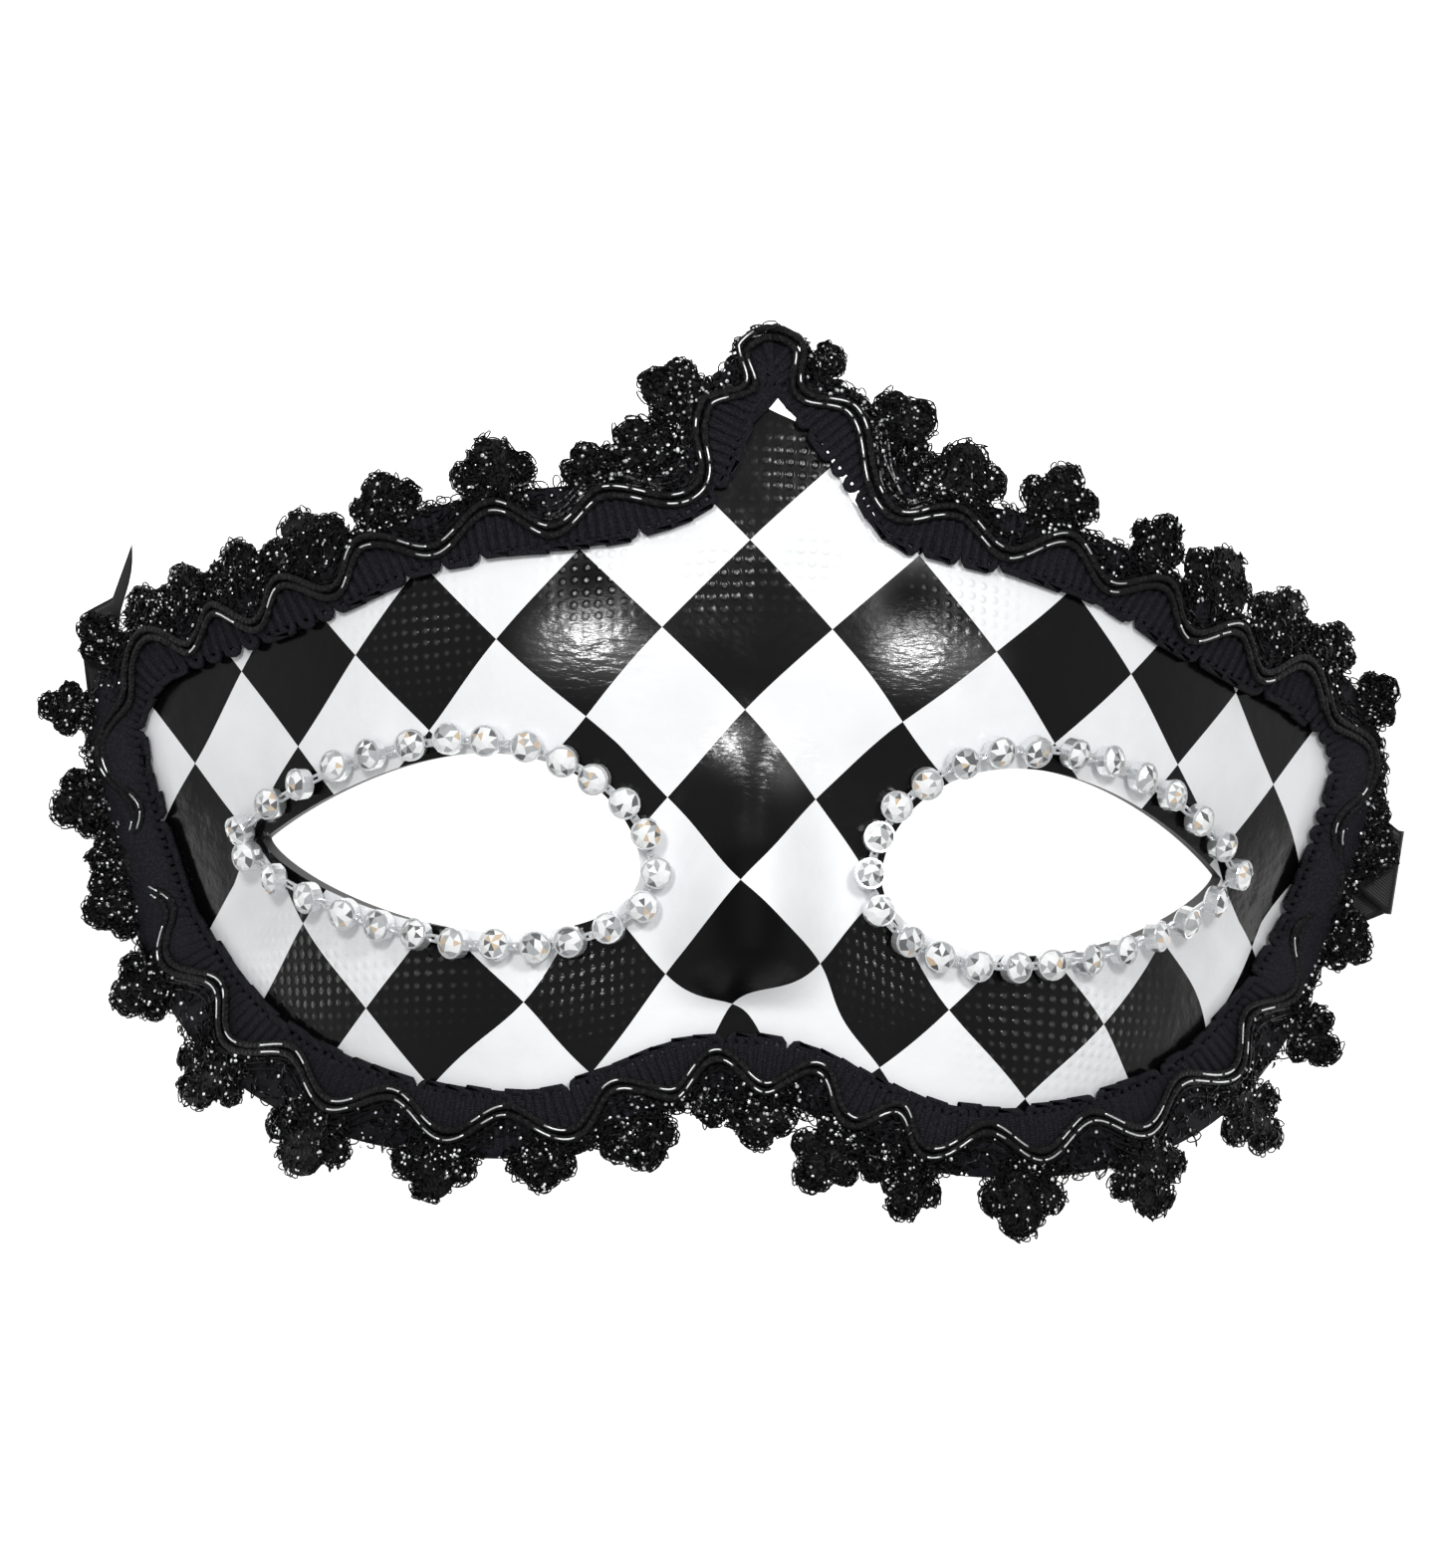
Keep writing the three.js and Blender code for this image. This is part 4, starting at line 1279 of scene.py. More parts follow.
def build_braid(name, settings, materials):
    """One length of braid: a knitted bed, the gimp wound over it, and on top a pair of wavy cords with dashes
    of bright film along them as painted highlights."""
    # bright is the painted highlight film of the dashes.
    yarn, ground, bright = materials
    start, stop = STRETCHES[name]
    stock = Stock()
    rows = int(round((stop - start) / BED.step))
    at = np.linspace(start, stop, rows + 1)
    inner, outer = gathered(at)
    drawn = BED_AT_PEAK.get(name, BED.inside)
    beside = full_width(at - BED.lap) * full_width(at + BED.lap)
    inside = drawn + (BED.inside - drawn) * beside
    inner, outer = inner + inside, outer - BED.outside + strip_reach(at)
    out = np.stack([inner, inner, outer, outer], axis=-1)
    high = np.array([BED.low, BED.high, BED.high, BED.low])
    slab = on_braid(np.broadcast_to(at[:, None], out.shape), out, high)
    ends = np.array([[3, 2, 1, 0], [0, 1, 2, 3]]) + np.array([[0], [4 * rows]])
    stock.add(slab, [grid_faces(rows + 1, 4, wrap_columns=True)[:, ::-1], ends[:, ::-1]])
    path = gimp_path(start, stop, settings)
    radius = settings.gimp / MM / 2.0
    upward = lace_up(path)
    stock.add_tubes(path[None], upward[None], radius, radius, GIMP.sides, False, 0)
    dress(stock.make(f"gimp_{name}", [yarn]), "lace", f"trim_{name}")

    def laid(at, shift, lift):
        return on_braid(at, wave_out(name, at) + shift, np.full(at.shape, lift))

    cords = Stock()
    rng = np.random.default_rng(GIMP_SEED + len(name))
    at = np.linspace(start, stop, int(round((stop - start) / CORD.step)))
    for shift in (-CORD.apart, CORD.apart):
        path = laid(at, shift, CORD.lift)
        upward = lace_up(path)
        size = CORD.half_width, CORD.half_height, CORD.sides
        cords.add_tubes(path[None], upward[None], *size, False)
        begin, long = dash_spans(start, stop, rng)
        dash_at = begin[:, None] + long[:, None] * np.linspace(0.0, 1.0, DASH_BODY.steps)
        path = laid(dash_at, shift, CORD.lift + CORD.half_height)
        upward = lace_up(path)
        size = DASH_BODY.half_width, DASH_BODY.half_height, DASH_BODY.sides
        cords.add_tubes(path, upward, *size, False, 1)
    dress(cords.make(f"wave_cords_{name}", [ground, bright]), "lace", f"trim_{name}")


# Lace

LOBES = (
    LobeRow(0.3, 0.42, 0.2),
    LobeRow(0.0, 0.68, 0.26),
    LobeRow(-0.3, 0.42, 0.2),
    LobeRow(0.19, 0.1, 0.2),
    LobeRow(-0.19, 0.1, 0.2),
    LobeRow(0.0, 0.34, 0.27),
)
RIM_LOBES = 3
PAD = SimpleNamespace(around=36, thick=1.0, base=0.25, middle=0.38, least=0.16, fall=0.5)
PAD_PROFILE = (
    RingRow(0.06, 0.0),
    RingRow(0.7, 0.0),
    RingRow(0.93, 0.15),
    RingRow(0.98, 0.4),
    RingRow(0.9, 0.75),
    RingRow(0.55, 1.0),
    RingRow(0.06, 1.1),
)
LOOP = SimpleNamespace(steps=9, sides=3, twist=0.25)
# Glints are painted highlights: small beads of bright film.
GLINT = SimpleNamespace(sides=6, radius=0.25, height=0.14, small=0.6, large=1.15, lean=0.2)
GLINT_ACROSS = np.array([1.0, 0.3, 0.0])
RIM_LOOP = SimpleNamespace(short=0.5, long=1.3, narrow=0.2, broad=0.45, lean=0.3)
HEAP_LOOP = SimpleNamespace(short=0.5, long=1.05, narrow=0.6, lean=0.45, turn=0.8)
LACE_SEED = 37
HEAPS = SimpleNamespace(
    rim=HeapRow(RIM_LOBES, 0.86, 1.06, -0.1, 0.35),
    middle=HeapRow(len(LOBES), 0.0, 0.92, -0.15, 0.4),
    glints=HeapRow(len(LOBES), 0.0, 0.97, 0.35, 0.5),
)
RIM_SHARE = 0.42
MIDDLE_SHARE = 0.58
ROUND_STEP = 0.2


def fan_place(fans, across, outward, height):
    """Points of fans from places in their own flat frames: across and outward, turned by the lean, from the
    root on the braid."""
    at = np.array([f.at for f in fans])
    lean = np.radians([f.lean for f in fans])
    point, onward, away = braid_frame(at)
    root = point + away * FAN_ROOT
    shape = (len(fans),) + (1,) * (across.ndim - 1)
    c, s = np.cos(lean).reshape(shape), np.sin(lean).reshape(shape)
    turned_across, turned_out = across * c + outward * s, outward * c - across * s
    x = root[:, 0].reshape(shape) + turned_across * onward[:, 0].reshape(shape)
    y = root[:, 1].reshape(shape) + turned_across * onward[:, 1].reshape(shape)
    x = x + turned_out * away[:, 0].reshape(shape)
    y = y + turned_out * away[:, 1].reshape(shape)
    return above(lace_height, x, y, SEAT_GAP + height)


def fan_sizes(fans):
    """Width of each fan, and its length from the root."""
    width = np.array([f.width for f in fans])
    length = np.array([f.reach + BAND.outer - FAN_ROOT for f in fans])
    return width, length


def fan_pads(fans, stock):
    """The knitted ground of each fan: seen from its middle, the farthest of its lobe circles in each
    direction, under a low dome."""
    width, length = fan_sizes(fans)
    turn = np.arange(PAD.around) * TURN / PAD.around
    ray = np.stack([np.cos(turn), np.sin(turn)], axis=-1)
    middle = np.stack([np.zeros_like(length), PAD.middle * length], axis=-1)
    lobes = np.array(LOBES)
    centres = np.stack([width[:, None] * lobes[:, 0], length[:, None] * lobes[:, 1]], axis=-1)
    reach = width[:, None] * lobes[:, 2]
    offset = centres - middle[:, None]
    toward = np.einsum("flk,tk->flt", offset, ray)
    inside = reach[..., None] ** 2 - (offset ** 2).sum(-1)[..., None] + toward ** 2
    far = np.where(inside > 0.0, toward + np.sqrt(np.maximum(inside, 0.0)), 0.0)
    radius = np.maximum(far.max(axis=1), PAD.least * width[:, None])
    profile = np.array(PAD_PROFILE)
    flat = middle[:, None, None] + radius[:, None, :, None] * profile[:, :1, None] * ray
    height = PAD.base + PAD.thick * profile[:, 1][None, :, None] * np.ones_like(flat[..., 0])
    points = fan_place(fans, flat[..., 0], flat[..., 1], height)
    stock.add(points, stacked(len(PAD_PROFILE), PAD.around, len(fans)), 1)


def add_loops(stock, centre, normal, onward, long, short, rng, thread):
    """Thread loops: each an ellipse about its centre in its own tilted plane, longer along one direction,
    with a small twist out of the plane."""
    second = unit(np.cross(normal, onward))
    first = np.cross(second, normal)
    t = np.arange(LOOP.steps) * TURN / LOOP.steps
    twist = LOOP.twist * short[:, None] * np.sin(2.0 * t + rng.uniform(0.0, TURN, len(long))[:, None])
    paths = (
        centre[:, None]
        + first[:, None] * (long[:, None] * np.cos(t))[..., None]
        + second[:, None] * (short[:, None] * np.sin(t))[..., None]
        + normal[:, None] * twist[..., None]
    )
    stock.add_tubes(paths, normal[:, None], thread, thread, LOOP.sides, True, 0)


def add_glints(stock, centre, normal, rng):
    """Painted highlights on the turns of film: flat beads, two pyramids set base to base across the leaned
    normal.
    """
    count, sides = len(centre), GLINT.sides
    normal = tilted(normal, rng, GLINT.lean)
    size = rng.uniform(GLINT.small, GLINT.large, count)
    side = unit(np.cross(normal, GLINT_ACROSS))
    other = np.cross(normal, side)
    turn = np.arange(sides) * TURN / sides
    ring = side[:, None] * np.cos(turn)[:, None] + other[:, None] * np.sin(turn)[:, None]
    ring = centre[:, None] + ring * (GLINT.radius * size)[:, None, None]
    tip = normal * GLINT.height
    points = np.concatenate([ring, (centre + tip)[:, None], (centre - tip)[:, None]], axis=1)
    i = np.arange(sides)
    j = (i + 1) % sides
    above_ring, below_ring = np.full(sides, sides), np.full(sides, sides + 1)
    faces = np.vstack([np.stack([i, j, above_ring], axis=1), np.stack([j, i, below_ring], axis=1)])
    stock.add(points, [copied(faces, count, sides + 2)], 2)


def tilted(normal, rng, spread):
    """Normals leaned at random."""
    return unit(normal + rng.normal(0.0, spread, normal.shape))


def braid_direction(at):
    """Direction along the braid, level with the floor."""
    onward = braid_frame(at)[1]
    return np.concatenate([onward, np.zeros_like(onward[..., :1])], axis=-1)


def build_lace_strip(name, settings, materials):
    """The looped film along the outer half of the band: runs of film beside the wavy cords, small loops among
    them and painted highlights, beads of bright film, on top."""
    rng = np.random.default_rng(LACE_SEED + len(name))
    start, stop = STRETCHES[name]
    thread = settings.thread / MM / 2.0
    stock = Stock()
    at = np.linspace(start, stop, int((stop - start) / FILM_RUNS.step))
    outer = gathered(at)[1] + strip_reach(at)
    for run in range(FILM_RUNS.count):
        phase = at / FILM_WANDER.over + FILM_WANDER.shift * run
        wander = FILM_WANDER.swing * np.sin(phase)
        out = wave_out(name, at) + FILM_RUNS.first + FILM_RUNS.pitch * run + wander
        out = np.minimum(out, outer - FILM_WANDER.edge)
        path = on_braid(at, out, np.full(at.shape, FILM_RUNS.lift))
        size = FILM_RUNS.radius, FILM_RUNS.radius, FILM_RUNS.sides
        stock.add_tubes(path[None], lace_up(path)[None], *size, False, 0)

    def scattered(count, low, high):
        place = rng.uniform(start, stop, count)
        inner = wave_out(name, place) + STRIP_START
        edge = gathered(place)[1] + strip_reach(place)
        out = inner + (edge - inner) * rng.uniform(0.0, 1.0, count)
        centre = on_braid(place, out, rng.uniform(low, high, count))
        return place, centre, lace_up(centre)

    count = int((stop - start) * settings.strip_loops)
    place, centre, normal = scattered(count, STRIP_LOOP.low, STRIP_LOOP.high)
    onward = tilted(braid_direction(place), rng, STRIP_LOOP.turn)
    long = rng.uniform(STRIP_LOOP.short, STRIP_LOOP.long, count)
    normal = tilted(normal, rng, STRIP_LOOP.lean)
    add_loops(stock, centre, normal, onward, long, long * STRIP_LOOP.narrow, rng, thread)
    count = int((stop - start) * settings.strip_glints)
    _, centre, normal = scattered(count, STRIP_GLINT.low, STRIP_GLINT.high)
    add_glints(stock, centre, normal, rng)
    dress(stock.make(f"lace_strip_{name}", materials, smooth=False), "lace", f"trim_{name}")


def build_fans(label, name, fans, settings, materials):
    """Fans of looped film: knitted pads, loops laid along the rim of each lobe, loops heaped over the middle
    and painted highlights, beads of bright film, on top."""
    rng = np.random.default_rng(LACE_SEED + len(label))
    thread = settings.thread / MM / 2.0
    width, length = (size[:, None] for size in fan_sizes(fans))
    lobes = np.array(LOBES)
    stock = Stock()
    fan_pads(fans, stock)

    def scattered(share, heap):
        size = (len(fans), int(settings.fan_loops * share))
        pick = rng.integers(0, heap.lobes, size)
        swing = rng.uniform(0.0, TURN, size)
        distance = np.sqrt(rng.uniform(heap.near * heap.near, heap.far * heap.far, size))
        reach = width * lobes[pick, 2] * distance
        across = width * lobes[pick, 0] + reach * np.cos(swing)
        outward = length * lobes[pick, 1] + reach * np.sin(swing)
        dome = PAD.thick * (1.0 - PAD.fall * distance ** 2)
        puff = PAD.base + dome + rng.uniform(heap.low, heap.high, size)
        centre = fan_place(fans, across, outward, puff).reshape(-1, 3)
        step_across, step_out = -ROUND_STEP * np.sin(swing), ROUND_STEP * np.cos(swing)
        ahead = fan_place(fans, across + step_across, outward + step_out, puff).reshape(-1, 3)
        return centre, lace_up(centre), unit(ahead - centre)

    centre, normal, onward = scattered(RIM_SHARE, HEAPS.rim)
    long = rng.uniform(RIM_LOOP.short, RIM_LOOP.long, len(centre))
    short = rng.uniform(RIM_LOOP.narrow, RIM_LOOP.broad, len(centre))
    normal = tilted(normal, rng, RIM_LOOP.lean)
    add_loops(stock, centre, normal, tilted(onward, rng, RIM_LOOP.lean), long, short, rng, thread)
    centre, normal, onward = scattered(MIDDLE_SHARE, HEAPS.middle)
    long = rng.uniform(HEAP_LOOP.short, HEAP_LOOP.long, len(centre))
    short = long * HEAP_LOOP.narrow
    normal = tilted(normal, rng, HEAP_LOOP.lean)
    add_loops(stock, centre, normal, tilted(onward, rng, HEAP_LOOP.turn), long, short, rng, thread)
    centre, normal, _ = scattered(settings.fan_glints / settings.fan_loops, HEAPS.glints)
    add_glints(stock, centre, normal, rng)
    dress(stock.make(f"lace_fans_{label}", materials, smooth=False), "lace", f"trim_{name}")


def build_lace(name, settings, materials):
    """The lace of one length of braid: the strip on its band and its fans, in two pieces on a long length."""
    build_lace_strip(name, settings, materials)
    sides = {"right": [f for f in FANS[name] if f.at > 0.0], "left": [f for f in FANS[name] if f.at < 0.0]}
    for side, fans in sides.items():
        if fans:
            build_fans(name if side in name else f"{name}_{side}", name, fans, settings, materials)


# Ties

TIE_WAIST = SimpleNamespace(before_end=8.0, spread=4.0)
TIE_END = SimpleNamespace(start=0.7, over=0.3)
TIE_ROWS = SimpleNamespace(upper=26, fold=9, lower=44, across=13)


def tie_layer(start, stop, fold_line, fold_first, rows, width):
    """A flat layer of ribbon as rows of places: square at its free end, and slanted along the fold at the
    other by a share that grows towards it."""
    run = stop - start
    length = np.linalg.norm(run)
    onward = run / length
    side = np.array([-onward[1], onward[0]])
    skew = fold_line @ onward / (fold_line @ side)
    v = np.linspace(-width / 2.0, width / 2.0, TIE_ROWS.across)
    t = np.linspace(0.0, 1.0, rows)[:, None]
    mitre = 1.0 - t if fold_first else t
    reach = t * length + mitre * skew * v
    place = start + onward * reach[..., None] + side * np.broadcast_to(v, reach.shape)[..., None]
    return place, length


def build_tie(tie, settings, material):
    """A satin tie: down the inside of the shell from the glued end, over a rounded fold and along the floor
    to a free end, which may be notched."""
    width, thick = settings.width / MM, settings.thick / MM
    glued, fold, end = (np.array(p) for p in (tie.glued, tie.fold, tie.end))
    inward, onward = unit(fold - glued), unit(end - fold)
    across_fold = unit(inward - onward)
    fold_line = np.array([-across_fold[1], across_fold[0]])
    upper, _ = tie_layer(glued, fold, fold_line, False, TIE_ROWS.upper, width)
    lower, lower_length = tie_layer(fold, end, fold_line, True, TIE_ROWS.lower, width)
    if np.dot(upper[-1, 0] - upper[-1, -1], lower[0, 0] - lower[0, -1]) < 0.0:
        lower = lower[:, ::-1]

    x, y = upper[..., 0], upper[..., 1]
    steep = 1.0 / up_from(face_height, x, y)[..., 2]
    clear = WALL + TIE_GLUE_GAP + TIE_SOLID
    floor = TIE_SOLID + TIE_LAYER_GAP
    upper_z = soft_max(face_height(x, y) - clear * steep, floor, TIE_SOFTNESS) + TIE_SOLID / 2.0
    lower_z = np.full(lower.shape[:2], thick)
    side = np.array([-onward[1], onward[0]])
    across = (lower - fold) @ side
    share = np.linspace(0.0, 1.0, TIE_ROWS.lower)[:, None]
    near_end = ease((share - TIE_END.start) / TIE_END.over)
    cut = tie.notch * (1.0 - 2.0 * np.abs(across) / width) + tie.slant * across
    before_end = lower_length * (1.0 - share)
    waist = tie.waist * bell((before_end - TIE_WAIST.before_end) / TIE_WAIST.spread)
    drawn_in = near_end * tie.pinch * across + waist * np.minimum(across, 0.0)
    lower = lower - onward * (near_end * cut)[..., None] - side * drawn_in[..., None]

    turn = np.linspace(0.0, math.pi, TIE_ROWS.fold + 2)[1:-1, None]
    top, bottom = upper_z[-1], lower_z[0]
    radius = (top - bottom) / 2.0
    out = across_fold * (radius * np.sin(turn))[..., None]
    fold_flat = upper[-1] + out
    fold_z = bottom + radius * (1.0 + np.cos(turn))
    flat = np.concatenate([upper, fold_flat, lower])
    height = np.concatenate([upper_z, fold_z, lower_z])
    surface = np.concatenate([flat, height[..., None]], axis=-1)
    rows = surface.shape[0]
    far = lengths(surface[:, TIE_ROWS.across // 2])
    v = np.linspace(0.0, width, TIE_ROWS.across)
    pattern = np.stack(np.broadcast_arrays(far[:, None], v), axis=-1)
    stock = Stock()
    stock.add(surface, [grid_faces(rows, TIE_ROWS.across)], 0, pattern)
    ribbon = stock.make(f"ribbon_{tie.side}", [material])
    body = ribbon.modifiers.new("cloth", "SOLIDIFY")
    body.thickness = settings.thick
    body.offset = 0.0
    dress(ribbon, "ties", f"tie_{tie.side}")


# Stage

CLIP_END = 20.0


def build_stage(settings):
    """A pale card that just fills the picture, two soft boxes high on either side of the camera, a low fill
    from each end and the camera over the mask."""
    scene = bpy.context.scene
    scene.view_settings.view_transform = "Standard"
    target = Vector(to_frame((*AIM, FRONT_PLANE)))
    roll, yaw = settings.roll, settings.yaw
    back = Vector((-math.sin(yaw), 0.0, math.cos(yaw)))
    middle = target - back * (target.z / back.z)
    wide, deep = settings.floor_width / 2.0, settings.floor_depth / 2.0
    corners = [
        (middle.x + sx * wide, middle.y + sy * deep, 0.0) for sx, sy in ((-1, -1), (1, -1), (1, 1), (-1, 1))
    ]
    mesh = bpy.data.meshes.new("floor")
    mesh.from_pydata(corners, [], [(0, 1, 2, 3)])
    mesh.materials.append(studio_card(settings))
    floor = bpy.data.objects.new("floor", mesh)
    scene.collection.objects.link(floor)

    world = bpy.data.worlds.new("studio")
    world.use_nodes = True
    backdrop = world.node_tree.nodes["Background"]
    backdrop.inputs["Color"].default_value = (*settings.floor, 1.0)
    backdrop.inputs["Strength"].default_value = settings.ambient
    scene.world = world

    for row in (
        LampRow("box_left", 30.0, 130.0, settings.box_power, settings.box_size, 1.2),
        LampRow("box_right", 30.0, 50.0, settings.box_power, settings.box_size, 1.2),
        LampRow("fill_top", 68.0, 90.0, settings.fill_power, 0.9, 1.1),
        LampRow("fill_foot", 68.0, -90.0, settings.fill_power, 0.9, 1.1),
    ):
        tilt, turn = math.radians(row.tilt), math.radians(row.turn)
        away = Vector((math.sin(tilt) * math.cos(turn), math.sin(tilt) * math.sin(turn), math.cos(tilt)))
        light = bpy.data.lights.new(row.name, "AREA")
        light.shape = "SQUARE"
        light.size = row.side
        light.energy = row.power
        lamp = bpy.data.objects.new(row.name, light)
        lamp.location = target + away * row.far
        lamp.rotation_euler = away.to_track_quat("Z", "Y").to_euler()
        scene.collection.objects.link(lamp)

    up = Vector((-math.sin(roll), math.cos(roll), 0.0))
    up = (up - up.dot(back) * back).normalized()
    placed = Matrix((up.cross(back), up, back)).transposed().to_4x4()
    placed.translation = target + back * settings.camera_distance
    lens = bpy.data.cameras.new("camera")
    lens.sensor_width = SENSOR
    lens.lens = PX_PER_MM * SENSOR * settings.camera_distance / MM / PHOTO_HEIGHT_PX
    lens.clip_end = CLIP_END
    camera = bpy.data.objects.new("camera", lens)
    camera.matrix_world = placed
    scene.collection.objects.link(camera)
    scene.camera = camera


# Settings


def number_of(name, description, default, **kind):
    """A number setting, with its unit or limits."""
    return FloatProperty(name=name, description=description, default=default, **kind)


def length_of(name, description, default):
    """A length setting, in metres."""
    return number_of(name, description, default, unit="LENGTH", precision=5)


def angle_of(name, description, degrees):
    """An angle setting, from degrees."""
    return number_of(name, description, math.radians(degrees), subtype="ANGLE")


def colour_of(name, description, hex_text):
    """A colour setting, from sRGB hex."""
    return FloatVectorProperty(
        name=name, description=description, default=linear(hex_text), subtype="COLOR", min=0.0, max=1.0
    )


class HarlequinShellSettings(bpy.types.PropertyGroup):
    """Print and finish of the shell."""

    diagonal: length_of("Diamond", "Diagonal of a printed diamond", 22.5 * MM)
    print_x: length_of("Print centre", "Where the print's middle line lies, across", -1.6 * MM)
    print_y: length_of("Print bridge", "Height of a corner of the print on the middle line", 18.0 * MM)
    pip_pitch: length_of("Pip pitch", "Distance between embossed pips", 1.65 * MM)
    pip_height: length_of("Pip height", "Height of an embossed pip", 0.16 * MM)
    ink: colour_of("Ink", "Printed black", "#0b0a0b")
    ground: colour_of("Ground", "White of the vinyl", "#f5f6f8")
    backing: colour_of("Backing", "Inside of the shell", "#1c1b1c")


class HarlequinBraidSettings(bpy.types.PropertyGroup):
    """Sizes and finish of the braid and its lace."""

    picot: length_of("Picot pitch", "Distance between picots along the braid", 2.6 * MM)
    gimp: length_of("Gimp", "Diameter of the gimp", 1.15 * MM)
    thread: length_of("Thread", "Width of the looped film", 0.25 * MM)
    strip_loops: number_of("Strip loops", "Loops on each millimetre of braid", 6.0, min=0.0)
    # Glints are painted highlights: beads of bright film on the black lace.
    strip_glints: number_of("Strip glints", "Bright turns on each millimetre of braid", 1.0, min=0.0)
    fan_loops: IntProperty(name="Fan loops", description="Loops on each fan", default=230, min=1)
    fan_glints: IntProperty(name="Fan glints", description="Bright turns on each fan", default=32, min=1)
    yarn: colour_of("Yarn", "Gimp yarn", "#131318")
    film: colour_of("Film", "Lacquered film", "#060607")
    # The film's bright silver is a painted highlight on the black film.
    silver: colour_of("Silver", "Bright face of the film", "#eef0f2")


class HarlequinStoneSettings(bpy.types.PropertyGroup):
    """Set and finish of the stones, with the painted light and shade of their facets."""

    lean: angle_of("Lean", "How far a stone may lean from the face", 9.0)
    # The facet colours are painted light: highlight, half-light, shade and a warm reflection.
    facet: colour_of("Facet", "Bright facet of a stone", "#f8f9fa")
    grey: colour_of("Grey facet", "Half-lit facet of a stone", "#b4b7b9")
    dark: colour_of("Dark facet", "Shadowed facet of a stone", "#6d6e70")
    warm: colour_of("Warm facet", "Facet that catches a warm tint", "#d8c3a8")
    silver: colour_of("Silver", "Cups and links", "#e6e8ea")


class HarlequinTieSettings(bpy.types.PropertyGroup):
    """Size and finish of the ties."""

    width: length_of("Width", "Width of the ribbon", 10.0 * MM)
    thick: length_of("Thickness", "Thickness of the ribbon", 0.3 * MM)
    satin: colour_of("Satin", "Satin ribbon", "#0d0d0e")


class HarlequinStageSettings(bpy.types.PropertyGroup):
    """Floor, light and camera."""

    floor_width: length_of("Card width", "Width of the lit card", 0.218)
    floor_depth: length_of("Card depth", "Depth of the lit card", 0.236)
    floor: colour_of("Card", "Floor card", "#f6f6f5")
    floor_glow: number_of("Glow", "Light given off by the floor card", 1.0, min=0.0)
    ambient: number_of("Ambient", "Strength of the even light", 0.5, min=0.0)
    box_power: number_of("Boxes", "Power of each soft box", 5.2, unit="POWER")
    box_size: length_of("Box size", "Side of a soft box", 0.22)
    fill_power: number_of("Fill", "Power of each low fill", 0.7, unit="POWER")
    camera_distance: length_of("Camera distance", "From the camera to the front of the mask", 1.25)
    roll: angle_of("Roll", "Turn of the mask in the picture", 2.2)
    yaw: angle_of("Yaw", "Camera's step to the left", 2.5)


# Operators


class HARLEQUIN_OT_stage(bpy.types.Operator):
    """Lay the floor, set the lights and aim the camera"""

    bl_idname = "harlequin.stage"
    bl_label = "Stage"

    def execute(self, context):
        build_stage(context.scene.harlequin_stage)
        return {"FINISHED"}


class HARLEQUIN_OT_shell(bpy.types.Operator):
    """Build the shell with its printed facing"""

    bl_idname = "harlequin.shell"
    bl_label = "Shell"

    def execute(self, context):
        build_shell(context.scene.harlequin_shell)
        return {"FINISHED"}


class HARLEQUIN_OT_stones(bpy.types.Operator):
    """Build the string of stones round each eye"""

    bl_idname = "harlequin.stones"
    bl_label = "Stones"

    def execute(self, context):
        settings = context.scene.harlequin_stones
        materials = [
            silvered_plastic(settings),
            # Facets painted as highlight, half-light, shade and warm reflection.
            foiled_acrylic_painted_light("bright", settings.facet),
            foiled_acrylic_painted_light("grey", settings.grey),
            foiled_acrylic_painted_light("dark", settings.dark),
            foiled_acrylic_painted_light("warm", settings.warm),
        ]
        for eye in EYES:
            build_stones(eye, settings, materials)
        return {"FINISHED"}


class HARLEQUIN_OT_braid(bpy.types.Operator):
    """Build the three lengths of braid"""

    bl_idname = "harlequin.braid"
    bl_label = "Braid"

    def execute(self, context):
        settings = context.scene.harlequin_braid
        # The third material is the painted highlight film of the cords' dashes.
        materials = [gimp_cord(settings), lace_ground(settings), painted_glint_film(settings)]
        for name in STRETCHES:
            build_braid(name, settings, materials)
        return {"FINISHED"}


class HARLEQUIN_OT_lace(bpy.types.Operator):
    """Build the looped lace and its fans"""

    bl_idname = "harlequin.lace"
    bl_label = "Lace"

    def execute(self, context):
        settings = context.scene.harlequin_braid
        # The third material is the painted highlight film of the glints.
        materials = [tinsel_film(settings), lace_ground(settings), painted_glint_film(settings)]
        for name in STRETCHES:
            build_lace(name, settings, materials)
        return {"FINISHED"}


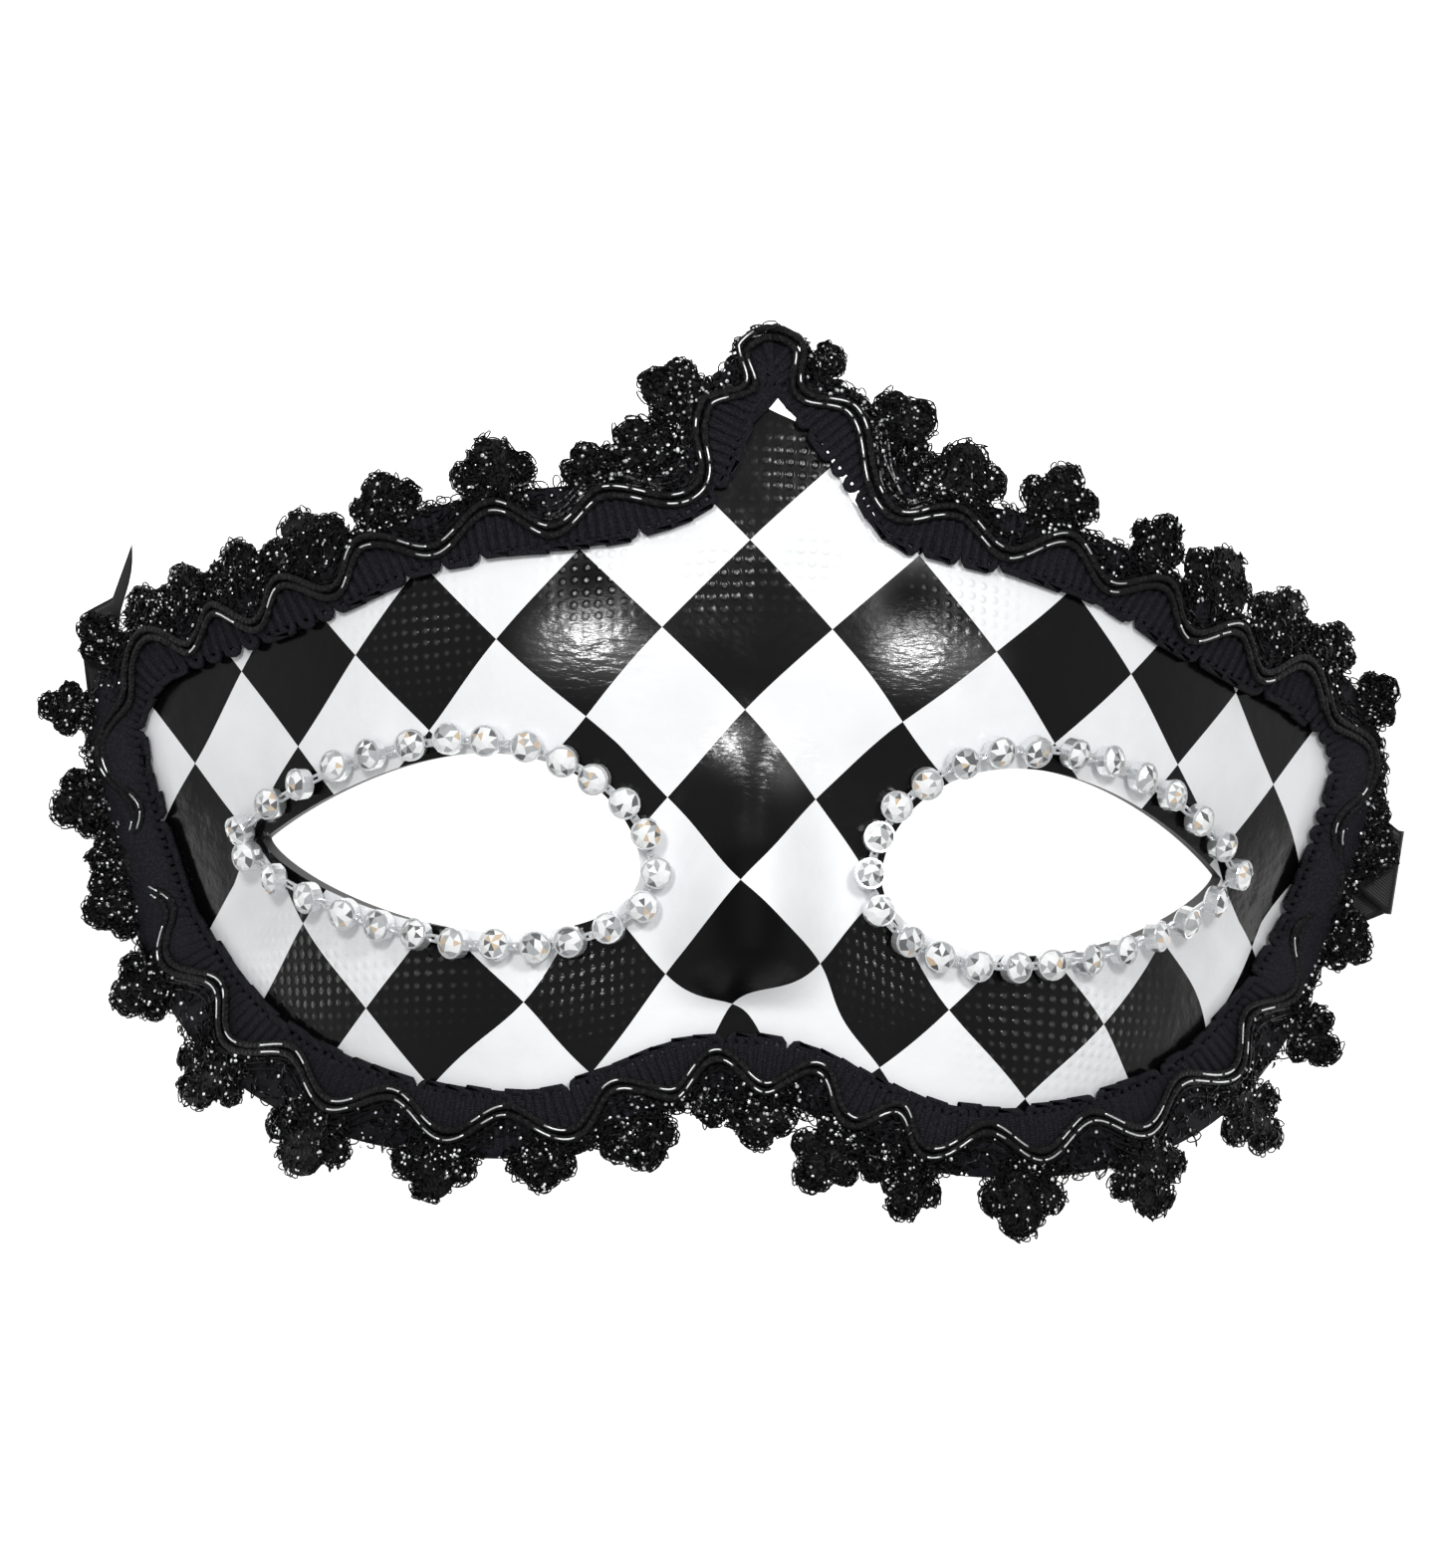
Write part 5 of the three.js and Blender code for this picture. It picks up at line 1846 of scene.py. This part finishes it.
class HARLEQUIN_OT_ties(bpy.types.Operator):
    """Build the satin ties"""

    bl_idname = "harlequin.ties"
    bl_label = "Ties"

    def execute(self, context):
        settings = context.scene.harlequin_ties
        material = satin_ribbon(settings)
        for tie in TIES:
            build_tie(tie, settings, material)
        return {"FINISHED"}


class HARLEQUIN_PT_mask(bpy.types.Panel):
    """Lists the pieces of the mask and their settings"""

    bl_idname = "HARLEQUIN_PT_mask"
    bl_label = "Harlequin Eye Mask"
    bl_space_type = "VIEW_3D"
    bl_region_type = "UI"
    bl_category = "Eye Mask"

    def draw(self, context):
        layout = self.layout
        for operator in OPERATORS:
            layout.operator(operator.bl_idname)
        for name in SETTINGS:
            group = getattr(context.scene, name)
            box = layout.box()
            for key in group.__annotations__:
                box.prop(group, key)


OPERATORS = (
    HARLEQUIN_OT_stage,
    HARLEQUIN_OT_shell,
    HARLEQUIN_OT_stones,
    HARLEQUIN_OT_braid,
    HARLEQUIN_OT_lace,
    HARLEQUIN_OT_ties,
)
SETTINGS = {
    "harlequin_shell": HarlequinShellSettings,
    "harlequin_braid": HarlequinBraidSettings,
    "harlequin_stones": HarlequinStoneSettings,
    "harlequin_ties": HarlequinTieSettings,
    "harlequin_stage": HarlequinStageSettings,
}
CLASSES = (*SETTINGS.values(), *OPERATORS, HARLEQUIN_PT_mask)


def register():
    """Registers the classes and hangs the settings on the scene."""
    for cls in CLASSES:
        bpy.utils.register_class(cls)
    for name, group in SETTINGS.items():
        setattr(bpy.types.Scene, name, PointerProperty(type=group))


def unregister():
    """Takes the settings and the classes away again."""
    for name in SETTINGS:
        delattr(bpy.types.Scene, name)
    for cls in reversed(CLASSES):
        bpy.utils.unregister_class(cls)


def main():
    """Registers the add-on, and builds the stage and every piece."""
    register()
    bpy.ops.harlequin.stage()
    bpy.ops.harlequin.shell()
    bpy.ops.harlequin.stones()
    bpy.ops.harlequin.braid()
    bpy.ops.harlequin.lace()
    bpy.ops.harlequin.ties()


if __name__ == "__main__":
    main()
